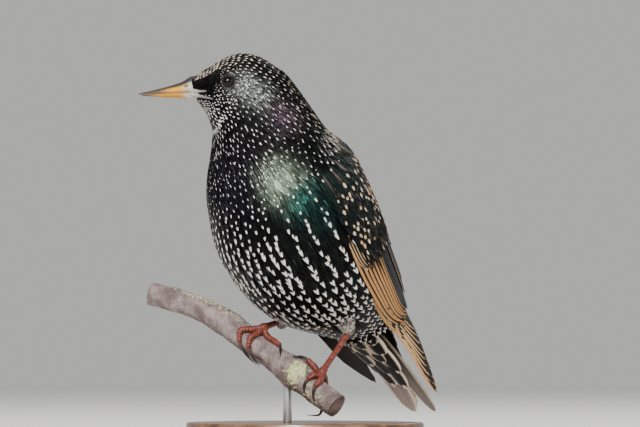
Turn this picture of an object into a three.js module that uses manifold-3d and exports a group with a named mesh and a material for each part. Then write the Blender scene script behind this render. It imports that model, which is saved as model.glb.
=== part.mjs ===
// A plump starling in winter dress, gripping a cut length of branch above a plain display stand.
// Millimetres, +Z up. The origin is the centre of the base's underside, and the bill points along -X.
// The bird is laid out in a frame of its own: x ahead of the breast, y to its left, z up from mid body.

import Module from 'manifold-3d';
import * as THREE from 'three';
import { LoftGeometry } from 'three/addons/geometries/LoftGeometry.js';
import { mergeVertices } from 'three/addons/utils/BufferGeometryUtils.js';

const wasm = await Module();
wasm.setup();

const RADIANS = Math.PI / 180;
const UP = new THREE.Vector3(0, 0, 1);

// Driving sizes
const GAP = 0.3;
const BODY_CENTRE = new THREE.Vector3(-2.3, 0, 102.3);
const HEADING = 227 * RADIANS;
const LEAN = 51 * RADIANS;
const NECK_AHEAD = 22;
const AROUND_BODY = 28;
const BODY_STEP = 0.5;

// Places of the cuts across the body, counted in rows from the bill's root
const HEAD_END = 7.2;
const NECK_END = 9.4;
const CUT = { head: 0.045, neck: 0.02 };

// Head, from the bill's root to the nape. Each row is one cross section of the head:
// distance ahead, height, backward tilt, half depth, half width, turn to the right
const HEAD = [
  [55.2, 57.2, -13, 4.9, 4.6, 47],
  [52.6, 57.6, 1, 6.7, 6.3, 47],
  [49.7, 58.2, 12, 8.9, 8.2, 47],
  [46.8, 59.2, 19, 11.7, 9.9, 47],
  [43.4, 59.8, 26, 14.5, 11.0, 47],
  [39.8, 59.2, 33, 16.7, 11.9, 47],
  [36.3, 57.5, 41, 18.3, 12.8, 46],
];

// Neck, in the same columns, where the head's turn dies away towards the shoulders
const NECK = [
  [33.1, 54.5, 47, 19.6, 14.0, 42],
  [29.8, 50.2, 52, 21.2, 16.5, 34],
  [27.8, 42.0, 53, 24.8, 20.0, 22],
  [25.6, 32.0, 52, 29.2, 25.0, 8],
];

// Torso, by the distance towards the neck along the body's axis:
// distance, rise of the centre towards the back, half depth, half width,
// room left for the wings, share of that room which the mantle fills along the ridge
const TORSO = [
  [31, -2.8, 32.6, 29.0, 0, 1],
  [22, -3.1, 35.6, 31.7, 0.8, 1],
  [13, -3.6, 38.2, 33.8, 2.2, 1],
  [4, -4.8, 38.6, 35.0, 3.0, 1],
  [-7, -5.2, 37.4, 35.5, 3.6, 0.8],
  [-17, -5.4, 35.8, 35.0, 4.0, 0.6],
  [-28, -4.6, 33.6, 33.0, 4.4, 0.3],
  [-40, -2.4, 29.6, 29.4, 4.8, 0],
  [-50, 0.6, 24.4, 24.6, 5.0, 0],
  [-58, 2.4, 19.4, 19.4, 5.0, 0],
  [-64, 3.8, 14.8, 15.4, 4.4, 0],
];

// Cosines, round from the ridge of the back, at which the mantle and the wings' room begin,
// and the widths over which they come to the full
const MANTLE = { edge: 0.86, blend: 0.08 };
const WING_ROOM = { edge: -0.42, blend: 0.3 };

// Outer surface of the folded wings, by distance along the axis:
// distance, rise of the centre, half depth, half width
const WRAP = [
  [31, -2.8, 32.6, 29.0],
  [22, -3.1, 35.6, 32.0],
  [13, -3.6, 38.0, 34.2],
  [4, -4.8, 38.4, 35.4],
  [-7, -5.2, 37.2, 36.0],
  [-17, -5.4, 35.4, 35.5],
  [-28, -4.7, 33.2, 33.8],
  [-40, -2.8, 30.0, 30.6],
  [-52, 0.6, 26.4, 25.8],
  [-62, 4.9, 21.4, 20.8],
  [-70, 7.8, 16.2, 19.2],
  [-80, 9.5, 12.6, 19.0],
  [-90, 10.0, 10.5, 18.8],
  [-100, 9.6, 9.0, 18.6],
  [-112, 9.0, 8.0, 18.2],
];

// How far the right wing's lower edge hangs below the left's: distance along the axis, drop
const HANG = [
  [31, 0],
  [-45, 0],
  [-58, 5],
  [-68, 8.6],
  [-80, 9],
  [-91, 5.7],
  [-103, 1.2],
  [-112, 0],
];
const HANG_EDGE = 1.7;

// The hind end swings a little to the bird's right
const SWING_START = -40;
const SWING_RATE = 0.03;

// Bill halves, in rows of distance ahead, height of culmen or chin, height of cutting edge, half width
const UPPER_BILL = [
  [50.5, 61.7, 55.9, 4.0],
  [56.5, 61.2, 55.9, 3.6],
  [61.5, 59.7, 55.7, 3.1],
  [68.4, 57.8, 55.3, 2.3],
  [75.0, 56.2, 54.9, 1.4],
  [80.2, 55.0, 54.6, 0.4],
];
const LOWER_BILL = [
  [50.5, 52.0, 55.5, 3.8],
  [56.5, 52.5, 55.5, 3.3],
  [61.5, 53.0, 55.3, 2.8],
  [68.4, 53.3, 54.9, 2.0],
  [74.5, 53.7, 54.5, 1.2],
  [78.6, 54.0, 54.3, 0.4],
];
const BILL_SIDES = 8;
const BILL_ROUNDNESS = 0.8;
const NOSTRIL = { ahead: 58.6, aside: 3.1, height: 58.4, radius: 0.75, length: 1.7 };

// Eyes and their lids
const EYE = { ahead: 39.4, aside: 8.5, height: 60.2, radius: 4.4 };
const LID = { aside: 11.3, radius: 3.75, thickness: 0.6 };

// Vanes. A shape's rows are the share of the length from the root and the share of the full width
const VANE_THICKNESS = { root: 1.9, tip: 0.6 };
const VANE_SLOPE = 0.5;
const SHAFT_HEIGHT = 0.15;
const LIFT_RATE = 1.4;
const LONG_VANE = [
  [0, 0.7],
  [0.35, 1],
  [0.84, 0.88],
  [0.95, 0.6],
  [1, 0.22],
];
const SHORT_VANE = [
  [0, 0.8],
  [0.6, 1],
  [0.88, 0.8],
  [1, 0.3],
];

// Wing tiers. Each goes from its lowest feather to its highest, and a feather's ends are
// [distance along the axis, degrees round from the ridge of the back]. The right wing's longest
// feathers are drawn in by a few millimetres
const DRAWN_IN = { left: 0, right: 6 };
const WING_TIERS = [
  { count: 6, low: { root: [-20, 97], tip: [-111, 98] }, high: { root: [-24, 62], tip: [-74, 54] },
    width: [8, 10.5], lift: [-1.6, -0.5], shape: LONG_VANE, primary: true },
  { count: 5, low: { root: [-8, 89], tip: [-71, 82] }, high: { root: [-22, 54], tip: [-68, 46] },
    width: [9, 10.5], lift: [-1.4, -0.1], shape: LONG_VANE },
  { count: 3, low: { root: [-20, 44], tip: [-65, 40] }, high: { root: [-20, 16], tip: [-54, 11] },
    width: [13, 13], lift: [-1.2, 0.1], shape: LONG_VANE },
  { count: 5, low: { root: [10, 91], tip: [-15, 92] }, high: { root: [0, 24], tip: [-42, 17] },
    width: [12, 17], lift: [-1.2, 0.5], shape: SHORT_VANE },
  { count: 4, low: { root: [19, 87], tip: [0, 88] }, high: { root: [15, 26], tip: [-20, 22] },
    width: [15, 20], lift: [-1.2, 0.7], shape: SHORT_VANE },
];
const WING_PAD = {
  start: 20,
  end: -60,
  top: [24, 5],
  bottom: [96, 88],
  lift: -0.7,
  rows: 8,
  across: 6,
  frontThinning: 0.3,
  taper: 2,
};
const PAD_EDGE = 1.2;
const PAD_SINK = 1;
const RIDGE_CLEARANCE = 0.5;

// Tail, whose feathers pair off from the middle outward
const TAIL_START = -64.5;
const TAIL_TIP = -123;
const TAIL_HEIGHT = [3.4, 9.6];
const TAIL_DROOP = 0.012;
const TAIL_LEAN = 0.055;
const RECTRIX_PAIRS = 5;
const RECTRIX_SPREAD = { inner: [0.8, 5], outer: [3, 6.6] };
const TAIL_NOTCH = 3.5;
const RECTRIX_WIDTH = 11.6;
const RECTRIX_STEP = 0.36;
const RECTRIX_OVERLAP = 0.15;
const RECTRIX_THICKNESS = 0.8;

// Coverts under and over the tail: distance along the axis, half width, depth beyond the tail.
// A tier's feathers reach the given degrees to either side
const UNDER_COVERTS = [
  [-64.5, 13.6, 11.6],
  [-72, 13.0, 8.8],
  [-82, 12.0, 5.6],
  [-93, 10.6, 3.2],
  [-101, 9.0, 2.2],
];
const UNDER_TIERS = [
  { count: 2, root: -76, tip: -103, width: 10.5, reach: 24 },
  { count: 3, root: -71, tip: -95, width: 10.5, reach: 46 },
  { count: 2, root: -67, tip: -87, width: 10.5, reach: 26 },
  { count: 3, root: -65.5, tip: -79, width: 10.5, reach: 50 },
];
const UPPER_COVERTS = [
  [-64.5, 11.6, 9.6],
  [-72, 10.6, 7.2],
  [-80, 9.2, 4.8],
  [-88, 7.8, 2.8],
];
const UPPER_TIERS = [
  { count: 2, root: -70, tip: -90, width: 8, reach: 28 },
  { count: 3, root: -66, tip: -80, width: 8, reach: 46 },
];
const COVERT_STEPS = 4;
const COVERT_SIDES = 10;
const COVERT_CORE = { inset: 0.7, short: 5 };
const COVERT_LIFT = [-1.1, 0];
const COVERT_GATHER = 0.8;

// Branch, in the stand's frame: points along the middle and the radius at each
const BRANCH = [
  [-70.5, 28, 66.4, 5.1],
  [-58, 24, 63.2, 5.2],
  [-47, 19.5, 59.0, 5.5],
  [-36, 14.5, 53.0, 6.2],
  [-27.5, 10, 46.6, 5.7],
  [-19.2, 4.8, 40.4, 5.6],
  [-11, -0.5, 35.2, 6.0],
  [-4, -5.5, 30.2, 7.2],
  [1, -8.7, 26, 6.2],
  [5.8, -11.8, 21.8, 5.7],
  [14.2, -17.4, 15.6, 5.3],
];
const BRANCH_SIDES = 12;
const BRANCH_STEPS = 22;
const KNOTS = { high: 0.035, low: 0.03 };

// Stand
const BASE_RADIUS = 55;
const BASE_HEIGHT = 8;
const BASE_EDGE = 1.2;
const ROD_RADIUS = 2;
const ROD_TOP = new THREE.Vector3(-8, -2.4, 33);
const ROD_SIDES = 20;
const BASE_SIDES = 48;

// Legs, in the bird's frame. The first point of a foot is its joint with the leg
const SIDES = { left: 1, right: -1 };
const LEGS = {
  left: {
    thigh: [[-8, 15, -34], [-13.5, 14.5, -45], [-17.2, 14, -52.2]],
    hock: [-17.8, 14, -53],
    joint: [2.4, 16, -71.2],
  },
  right: {
    thigh: [[-14, -13, -36], [-9.5, -15, -44], [-5.2, -16, -48.6]],
    hock: [-12.5, -16, -46.4],
    joint: [7.4, -16, -51.2],
  },
};
const THIGH_RADII = [9.5, 6.2, 3.0];
const TARSUS_RADII = [1.75, 1.35, 1.3, 1.6];
const TARSUS_ENDS = { knee: -3, calf: 4, ankle: -6, joint: -2.2 };
const ANKLE = { radii: [1.6, 2.1, 1.6], above: -1.9, below: 1.4 };
const TOE_RADIUS = 1.35;
const TOE_TAPER = 0.04;
const TOE_KNUCKLE = 0.12;
const TOE_HEIGHT = 1.45;
const TOE_STEPS = 7;
const CLAW_RADIUS = 0.95;
const CLAW_TIP = 0.2;
const CLAW_HEIGHT = 1.45;
const CLAW_STEPS = 9;
const LIMB_SIDES = { thigh: 14, tarsus: 10, ankle: 8, toe: 6 };
const LIMB_FACING = new THREE.Vector3(0.31, -0.87, 0.22).normalize();

// Toes, as ways round the branch: millimetres along it from the joint, degrees up from facing -Y,
// and, where it isn't the usual one, the height over the bark
const TOES = {
  left: [
    { path: [[-3, 76], [-9, 80], [-15, 78]], claw: [[-18, 62], [-20, 38]] },
    { path: [[-0.5, 62], [-1.5, 38], [-2, 14]], claw: [[-0.5, -12], [2.5, -36]] },
    { path: [[2.5, 66], [5.5, 40], [6, 12]], claw: [[7.5, -12], [9, -36]] },
    { path: [[1, 108], [3.5, 142], [6.5, 182]], claw: [[9.5, 224, 1.6], [11, 258, 2.8], [8, 272, 5.6]] },
  ],
  right: [
    { path: [[-2.4, 54], [-5.8, 12], [-3.2, -28]], claw: [[2, -56], [7.5, -76]] },
    { path: [[0.2, 56], [0.2, 14], [2, -24]], claw: [[6, -48], [10, -64]] },
    { path: [[4, 74], [9, 72], [13, 66]], claw: [[15.5, 44], [18.5, 18]] },
    { path: [[1, 108], [2, 142], [3, 175]], claw: [[4, 208], [5, 236]] },
  ],
};

const FINISHES = {
  plumage: { color: 0x17161a, roughness: 0.42, metalness: 0.15 },
  flight: { color: 0x3a3029, roughness: 0.55, metalness: 0 },
  coverts: { color: 0x2a2724, roughness: 0.55, metalness: 0 },
  bill: { color: 0xc9a15e, roughness: 0.4, metalness: 0 },
  eye: { color: 0x120c09, roughness: 0.06, metalness: 0 },
  leg: { color: 0xa8503a, roughness: 0.5, metalness: 0 },
  claw: { color: 0x2b2322, roughness: 0.35, metalness: 0 },
  bark: { color: 0x84756d, roughness: 0.85, metalness: 0 },
  steel: { color: 0x8d9094, roughness: 0.35, metalness: 0.9 },
  wood: { color: 0x5b3f2a, roughness: 0.5, metalness: 0 },
};

const group = new THREE.Group();

/** Closed solid from a geometry whose faces point outward. */
function solid(geometry) {
  const plain = new THREE.BufferGeometry();
  plain.setAttribute('position', geometry.attributes.position);
  plain.setIndex(geometry.index);
  const merged = mergeVertices(plain, 1e-4);
  const vertProperties = Float32Array.from(merged.attributes.position.array);
  const triVerts = Uint32Array.from(merged.index.array);
  return new wasm.Manifold(new wasm.Mesh({ numProp: 3, vertProperties, triVerts }));
}

/** Middle of a ring of points. */
function middleOf(ring) {
  return ring.reduce((sum, point) => sum.add(point), new THREE.Vector3()).divideScalar(ring.length);
}

/** Whether a ring runs anticlockwise, seen against the way that leads on from it. */
function turnsAnticlockwise(ring, way) {
  const middle = middleOf(ring);
  const turn = new THREE.Vector3();
  ring.forEach((point, i) => {
    const next = ring[(i + 1) % ring.length];
    turn.add(point.clone().sub(middle).cross(next.clone().sub(middle)));
  });
  return turn.dot(way) > 0;
}

/** Closed solid through a list of cross sections with equal point counts. */
function loft(sections) {
  const way = middleOf(sections[1]).sub(middleOf(sections[0]));
  const rings = turnsAnticlockwise(sections[0], way) ? sections : sections.map((ring) => ring.toReversed());
  return solid(new LoftGeometry(rings, { closed: true, capStart: true, capEnd: true }));
}

/** The largest closed surface of a solid. */
function largest(body) {
  const pieces = body.decompose();
  return pieces.reduce((best, piece) => (piece.volume() > best.volume() ? piece : best));
}

/** Union of several solids. */
function join(solids) {
  return solids.reduce((whole, piece) => whole.add(piece));
}

/** Adds a solid to the group as a named mesh. */
function place(name, body, finish) {
  const mesh = largest(body).getMesh();
  const geometry = new THREE.BufferGeometry();
  geometry.setAttribute('position', new THREE.Float32BufferAttribute(mesh.vertProperties, 3));
  geometry.setIndex(Array.from(mesh.triVerts));
  geometry.computeVertexNormals();
  const part = new THREE.Mesh(geometry, new THREE.MeshStandardMaterial(FINISHES[finish]));
  part.name = name;
  group.add(part);
}

/** Values part way along a list of rows, on a smooth curve through them. */
function blend(rows, index) {
  const start = Math.min(Math.max(Math.floor(index), 0), rows.length - 2);
  const part = index - start;
  const before = rows[Math.max(start - 1, 0)];
  const after = rows[Math.min(start + 2, rows.length - 1)];
  return rows[start].map((value, column) => {
    const next = rows[start + 1][column];
    const slopeIn = (next - before[column]) / 2;
    const slopeOut = (after[column] - value) / 2;
    const bend = 2 * (value - next) + slopeIn + slopeOut;
    const rise = 3 * (next - value) - 2 * slopeIn - slopeOut;
    return value + part * (slopeIn + part * (rise + part * bend));
  });
}

/** Values at a given first column, for rows whose first column falls steadily. */
function lookUp(rows, distance) {
  let start = rows.findIndex((row) => row[0] <= distance) - 1;
  if (start < 0) {
    start = distance > rows[0][0] ? 0 : rows.length - 2;
  }
  const span = rows[start][0] - rows[start + 1][0];
  const part = Math.min(Math.max((rows[start][0] - distance) / span, 0), 1);
  return blend(rows, start + part);
}

function mix(from, to, part) {
  return from + (to - from) * part;
}

function smooth(part) {
  const clamped = Math.min(Math.max(part, 0), 1);
  return clamped * clamped * (3 - 2 * clamped);
}

/** World place of a point given in the bird's frame, with a turn to its right about the neck. */
function toWorld(ahead, aside, height, turn = 0) {
  const point = new THREE.Vector3(ahead - NECK_AHEAD, aside, height).applyAxisAngle(UP, -turn * RADIANS);
  point.x += NECK_AHEAD;
  return point.applyAxisAngle(UP, HEADING).add(BODY_CENTRE);
}

/** World place of a point on the head, which is turned as a whole. */
function onHead(ahead, aside, height) {
  return toWorld(ahead, aside, height, HEAD[0][5]);
}

/** World place by distance along the body's axis, distance to the left and rise towards the back. */
function onAxis(along, aside, rise) {
  const swing = -SWING_RATE * Math.max(SWING_START - along, 0);
  const ahead = along * Math.cos(LEAN) - rise * Math.sin(LEAN);
  const height = along * Math.sin(LEAN) + rise * Math.cos(LEAN);
  return toWorld(ahead, aside + swing, height);
}

/** Rows of the whole body from the bill's root to the tail's, all in the columns of the head. */
function bodyRows() {
  const torso = TORSO.map(([along, rise, depth, width, ...wings]) => [
    along * Math.cos(LEAN) - rise * Math.sin(LEAN),
    along * Math.sin(LEAN) + rise * Math.cos(LEAN),
    LEAN / RADIANS,
    depth,
    width,
    0,
    ...wings,
  ]);
  return [...[...HEAD, ...NECK].map((row) => [...row, 0, 0]), ...torso];
}

const BODY = bodyRows();

/** One ring of points round the body, grown outward, with room kept for the wings on back and sides. */
function bodyRing(index, grow) {
  const [ahead, height, tilt, depth, width, turn, room, mantle] = blend(BODY, index);
  const ring = [];
  for (let k = 0; k < AROUND_BODY; k += 1) {
    const angle = (2 * Math.PI * k) / AROUND_BODY;
    const up = Math.cos(angle);
    const ridge = mantle * smooth((up - MANTLE.edge) / MANTLE.blend);
    const inset = room * smooth((up - WING_ROOM.edge) / WING_ROOM.blend) * (1 - ridge);
    const rise = (depth + grow - inset) * up;
    const aside = (width + grow - inset) * Math.sin(angle);
    const back = tilt * RADIANS;
    ring.push(toWorld(ahead - Math.sin(back) * rise, aside, height + Math.cos(back) * rise, turn));
  }
  return ring;
}

/** A length of the body between two places in its rows. */
function bodyLength(from, to, grow = 0) {
  const count = Math.max(Math.round((to - from) / BODY_STEP), 1);
  const rings = [];
  for (let i = 0; i <= count; i += 1) {
    rings.push(bodyRing(mix(from, to, i / count), grow));
  }
  return loft(rings);
}

/** A tapering rod through points, with a radius at each. */
function limb(points, radii, sides) {
  const rings = points.map((point, i) => {
    const ahead = points[Math.min(i + 1, points.length - 1)];
    const behind = points[Math.max(i - 1, 0)];
    const way = ahead.clone().sub(behind).normalize();
    const across = way.clone().cross(LIMB_FACING).normalize();
    const over = across.clone().cross(way);
    return Array.from({ length: sides }, (_, k) => {
      const angle = (2 * Math.PI * k) / sides;
      const reach = across.clone().multiplyScalar(Math.cos(angle) * radii[i]);
      return point.clone().add(reach).addScaledVector(over, Math.sin(angle) * radii[i]);
    });
  });
  return loft(rings);
}

/** One half of the bill, sunk in the head, grown outward on every side by the clearance. */
function billHalf(rows, grow) {
  const rings = rows.map(([ahead, outer, edge, width], i) => {
    const away = Math.sign(outer - edge);
    const shift = i === 0 ? -grow : 0;
    const ring = [onHead(ahead + shift, -width - grow, edge - away * grow)];
    for (let k = 0; k <= BILL_SIDES; k += 1) {
      const angle = Math.PI * (1 - k / BILL_SIDES);
      const aside = Math.cos(angle) * (width + grow);
      const height = edge + Math.sin(angle) ** BILL_ROUNDNESS * (outer - edge + away * grow);
      ring.push(onHead(ahead + shift, aside, height));
    }
    ring.push(onHead(ahead + shift, width + grow, edge - away * grow));
    return ring;
  });
  return loft(rings);
}

/** A ball, with its own scale along and across the head. */
function headBall(ahead, aside, height, radius, length = radius) {
  const ball = new THREE.SphereGeometry(radius, 16, 10);
  ball.scale(length / radius, 1, 1);
  ball.rotateZ(HEADING - HEAD[0][5] * RADIANS);
  const middle = onHead(ahead, aside, height);
  ball.translate(middle.x, middle.y, middle.z);
  return solid(ball);
}

function lidRing(side) {
  const ring = new THREE.TorusGeometry(LID.radius, LID.thickness, 6, 16);
  ring.rotateX(Math.PI / 2);
  ring.rotateZ(HEADING - HEAD[0][5] * RADIANS);
  const middle = onHead(EYE.ahead, side * LID.aside, EYE.height);
  ring.translate(middle.x, middle.y, middle.z);
  return solid(ring);
}

function buildHead() {
  let head = bodyLength(0, HEAD_END - CUT.head);
  for (const side of Object.values(SIDES)) {
    head = head.add(lidRing(side));
    head = head.subtract(headBall(EYE.ahead, side * EYE.aside, EYE.height, EYE.radius + GAP));
  }
  head = head.subtract(billHalf(UPPER_BILL, GAP)).subtract(billHalf(LOWER_BILL, GAP));
  place('head', head, 'plumage');
  let upper = billHalf(UPPER_BILL, 0);
  for (const side of Object.values(SIDES)) {
    const { ahead, aside, height, radius, length } = NOSTRIL;
    upper = upper.subtract(headBall(ahead, side * aside, height, radius, length));
  }
  place('bill_upper', upper, 'bill');
  place('bill_lower', billHalf(LOWER_BILL, 0), 'bill');
  for (const [name, side] of Object.entries(SIDES)) {
    place(`eye_${name}`, headBall(EYE.ahead, side * EYE.aside, EYE.height, EYE.radius), 'eye');
  }
}

/** Vane lying on a surface, from its root to its tip, sloping down from its near edge to its far one. */
function vane(surface, { root, tip, width, lift, shape, slope, thickness }) {
  const rings = shape.map(([part, breadth]) => {
    const along = mix(root[0], tip[0], part);
    const across = mix(root[1], tip[1], part);
    const half = (width * breadth) / 2;
    const top = mix(lift[0], lift[1], smooth(part * LIFT_RATE));
    const thick = mix(thickness, VANE_THICKNESS.tip, smooth(part));
    const near = top + slope / 2;
    const far = top - slope / 2;
    return [
      surface(along, across, half, near),
      surface(along, across, 0, top + SHAFT_HEIGHT),
      surface(along, across, -half, far),
      surface(along, across, -half, far - thick),
      surface(along, across, half, near - thick),
    ];
  });
  return loft(rings);
}

/** Angle on an oval at an offset in millimetres from a place given in degrees. */
function ovalAngle(degrees, offset, width, depth) {
  const angle = degrees * RADIANS;
  return angle + offset / Math.hypot(width * Math.cos(angle), depth * Math.sin(angle));
}

/** Point on a wing's outer surface: degrees round from the ridge, with an offset in millimetres. */
function wingSurface(side) {
  return (along, degrees, offset, lift) => {
    const [, rise, depth, width] = lookUp(WRAP, along);
    const angle = ovalAngle(degrees, offset, width, depth);
    const aside = Math.max((width + lift) * Math.sin(angle), RIDGE_CLEARANCE);
    const hang = side === SIDES.right ? lookUp(HANG, along)[1] * (angle / HANG_EDGE) ** 2 : 0;
    return onAxis(along, side * aside, rise - hang + (depth + lift) * Math.cos(angle));
  };
}

/** Feathers of one tier, evenly spaced from the lowest to the highest. */
function tierVanes(surface, tier, drawnIn) {
  return Array.from({ length: tier.count }, (_, i) => {
    const part = i / (tier.count - 1);
    const between = (end, column) => mix(tier.low[end][column], tier.high[end][column], part);
    const shorter = tier.primary ? drawnIn * (1 - part) : 0;
    return vane(surface, {
      root: [between('root', 0), between('root', 1)],
      tip: [between('tip', 0) + shorter, between('tip', 1)],
      width: mix(tier.width[0], tier.width[1], part),
      lift: tier.lift,
      shape: tier.shape,
      slope: VANE_SLOPE,
      thickness: VANE_THICKNESS.root,
    });
  });
}

/** The muscle and small coverts of the folded wing, a shell between torso and vanes. */
function wingPad(surface) {
  const { start, end, top, bottom, lift, rows, across, frontThinning, taper } = WING_PAD;
  const rings = [];
  for (let i = 0; i <= rows; i += 1) {
    const along = mix(start, end, i / rows);
    const thin = i === 0 ? frontThinning : 0;
    const ridge = mix(top[0], top[1], smooth(i / rows));
    const fill = lookUp(TORSO, along)[4] + PAD_SINK;
    const thick = mix(fill, PAD_EDGE, smooth((i - rows + taper) / taper));
    const low = mix(bottom[0], bottom[1], smooth(i / rows));
    const outer = [];
    const inner = [];
    for (let k = 0; k <= across; k += 1) {
      const degrees = mix(ridge, low, k / across);
      outer.push(surface(along, degrees, 0, lift - thin));
      inner.unshift(surface(along, degrees, 0, lift - thick));
    }
    rings.push([...outer, ...inner]);
  }
  return loft(rings);
}

function buildWings(torsoRoom) {
  for (const [name, side] of Object.entries(SIDES)) {
    const surface = wingSurface(side);
    const vanes = WING_TIERS.flatMap((tier) => tierVanes(surface, tier, DRAWN_IN[name]));
    place(`wing_${name}`, join([wingPad(surface), ...vanes]).subtract(torsoRoom), 'flight');
  }
}

function tailRise(along) {
  return mix(TAIL_HEIGHT[0], TAIL_HEIGHT[1], (TAIL_START - along) / (TAIL_START - TAIL_TIP));
}

/** Point on the tail's upper surface, which droops at its edges and leans to the bird's left. */
function tailSurface(along, aside, offset, lift) {
  const across = aside + offset;
  const lean = TAIL_LEAN * (TAIL_START - along);
  return onAxis(along, across + lean, tailRise(along) - TAIL_DROOP * across * across + lift);
}

function buildTail() {
  const { inner, outer } = RECTRIX_SPREAD;
  const vanes = [];
  for (let pair = 0; pair < RECTRIX_PAIRS; pair += 1) {
    const part = pair / (RECTRIX_PAIRS - 1);
    for (const side of Object.values(SIDES)) {
      const lift = -pair * RECTRIX_STEP + (side > 0 ? RECTRIX_OVERLAP : 0);
      const [rootAside, tipAside] = inner.map((start, end) => side * mix(start, outer[end], part));
      vanes.push(vane(tailSurface, {
        root: [TAIL_START, rootAside],
        tip: [TAIL_TIP + TAIL_NOTCH * (1 - part) ** 2, tipAside],
        width: RECTRIX_WIDTH,
        lift: [lift, lift],
        shape: LONG_VANE,
        slope: 0,
        thickness: RECTRIX_THICKNESS,
      }));
    }
  }
  place('tail', join(vanes), 'flight');
}

/** Height of the coverts' inner side beyond the tail's upper surface. */
function covertFloor(sign) {
  return sign > 0 ? 2 * GAP : -(RECTRIX_STEP * RECTRIX_PAIRS + RECTRIX_THICKNESS + GAP);
}

/** Points on the outer side of the coverts above or below the tail. */
function covertSurface(rows, sign) {
  return (along, degrees, offset, lift) => {
    const [, width, depth] = lookUp(rows, along);
    const angle = ovalAngle(degrees, offset, width, depth);
    const height = Math.max((depth + lift) * Math.cos(angle), 0);
    return tailSurface(along, (width + lift) * Math.sin(angle), 0, covertFloor(sign) + sign * height);
  };
}

/** Core of the coverts, arched on its outer side and following the tail on its inner one. */
function covertCore(rows, sign) {
  const surface = covertSurface(rows, sign);
  const start = rows[0][0];
  const end = rows[rows.length - 1][0] + COVERT_CORE.short;
  const rings = [];
  for (let i = 0; i <= COVERT_STEPS; i += 1) {
    const along = mix(start, end, i / COVERT_STEPS);
    const edge = lookUp(rows, along)[1] - COVERT_CORE.inset;
    const ring = [];
    for (let k = 0; k <= COVERT_SIDES; k += 1) {
      ring.push(surface(along, mix(-90, 90, k / COVERT_SIDES), 0, -COVERT_CORE.inset));
    }
    for (let k = 1; k < COVERT_SIDES / 2; k += 1) {
      ring.push(tailSurface(along, mix(edge, -edge, (2 * k) / COVERT_SIDES), 0, covertFloor(sign)));
    }
    rings.push(ring);
  }
  return loft(rings);
}

/** Coverts of the tail, a core with feathers lying on it, below or above the tail. */
function tailCoverts(rows, sign, tiers) {
  const surface = covertSurface(rows, sign);
  const vanes = tiers.flatMap(({ count, root, tip, width, reach }) =>
    Array.from({ length: count }, (_, i) => {
      const degrees = mix(-reach, reach, i / (count - 1));
      return vane(surface, {
        root: [root, degrees],
        tip: [tip, degrees * COVERT_GATHER],
        width,
        lift: COVERT_LIFT,
        shape: SHORT_VANE,
        slope: 0,
        thickness: VANE_THICKNESS.root,
      });
    }));
  return join([covertCore(rows, sign), ...vanes]);
}

function buildTailCoverts() {
  place('tail_coverts_under', tailCoverts(UNDER_COVERTS, -1, UNDER_TIERS), 'coverts');
  place('tail_coverts_upper', tailCoverts(UPPER_COVERTS, 1, UPPER_TIERS), 'coverts');
}

const BRANCH_LINE = new THREE.CatmullRomCurve3(BRANCH.map(([x, y, z]) => new THREE.Vector3(x, y, z)));

/** Radius of the branch part way along it. */
function branchRadius(part) {
  return blend(BRANCH, part * (BRANCH.length - 1))[3];
}

/** Frame of the branch part way along: middle, way, facing the front, and up across it. */
function branchFrame(part) {
  const middle = BRANCH_LINE.getPoint(part);
  const way = BRANCH_LINE.getTangent(part);
  const front = new THREE.Vector3(0, -1, 0).addScaledVector(way, way.y).normalize();
  return { middle, way, front, up: way.clone().cross(front).normalize().negate() };
}

/** Share of its plain radius that the knotty branch has at an angle round it. */
function knottiness(part, angle) {
  return 1 + KNOTS.high * Math.sin(3 * angle + 9 * part) + KNOTS.low * Math.sin(2 * angle - 21 * part);
}

/** The cut length of branch, grown outward on every side by a clearance. */
function branch(grow) {
  const rings = [];
  for (let i = 0; i <= BRANCH_STEPS; i += 1) {
    const part = i / BRANCH_STEPS;
    const { middle, way, front, up } = branchFrame(part);
    const longer = { 0: -grow, [BRANCH_STEPS]: grow }[i] ?? 0;
    rings.push(Array.from({ length: BRANCH_SIDES }, (_, k) => {
      const angle = (2 * Math.PI * k) / BRANCH_SIDES;
      const radius = branchRadius(part) * knottiness(part, angle) + grow;
      return middle.clone().addScaledVector(way, longer)
        .addScaledVector(front, Math.cos(angle) * radius)
        .addScaledVector(up, Math.sin(angle) * radius);
    }));
  }
  return loft(rings);
}

/** Part of the way along the branch that lies nearest to a point. */
function nearestPart(point) {
  let best = 0;
  for (let part = 0; part <= 1; part += 0.002) {
    const better = BRANCH_LINE.getPoint(part).distanceTo(point)
      < BRANCH_LINE.getPoint(best).distanceTo(point);
    best = better ? part : best;
  }
  return best;
}

/** Point by distance along the branch from a place on it, degrees up from the front, and height over it. */
function onBranch(start, along, degrees, height) {
  const part = start + along / BRANCH_LINE.getLength();
  const { middle, front, up } = branchFrame(part);
  const reach = branchRadius(part) + height;
  return middle.addScaledVector(front, Math.cos(degrees * RADIANS) * reach)
    .addScaledVector(up, Math.sin(degrees * RADIANS) * reach);
}

/** Evenly spaced points on a smooth curve through a few. */
function curvePoints(points, count) {
  return new THREE.CatmullRomCurve3(points, false, 'centripetal').getPoints(count);
}

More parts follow.
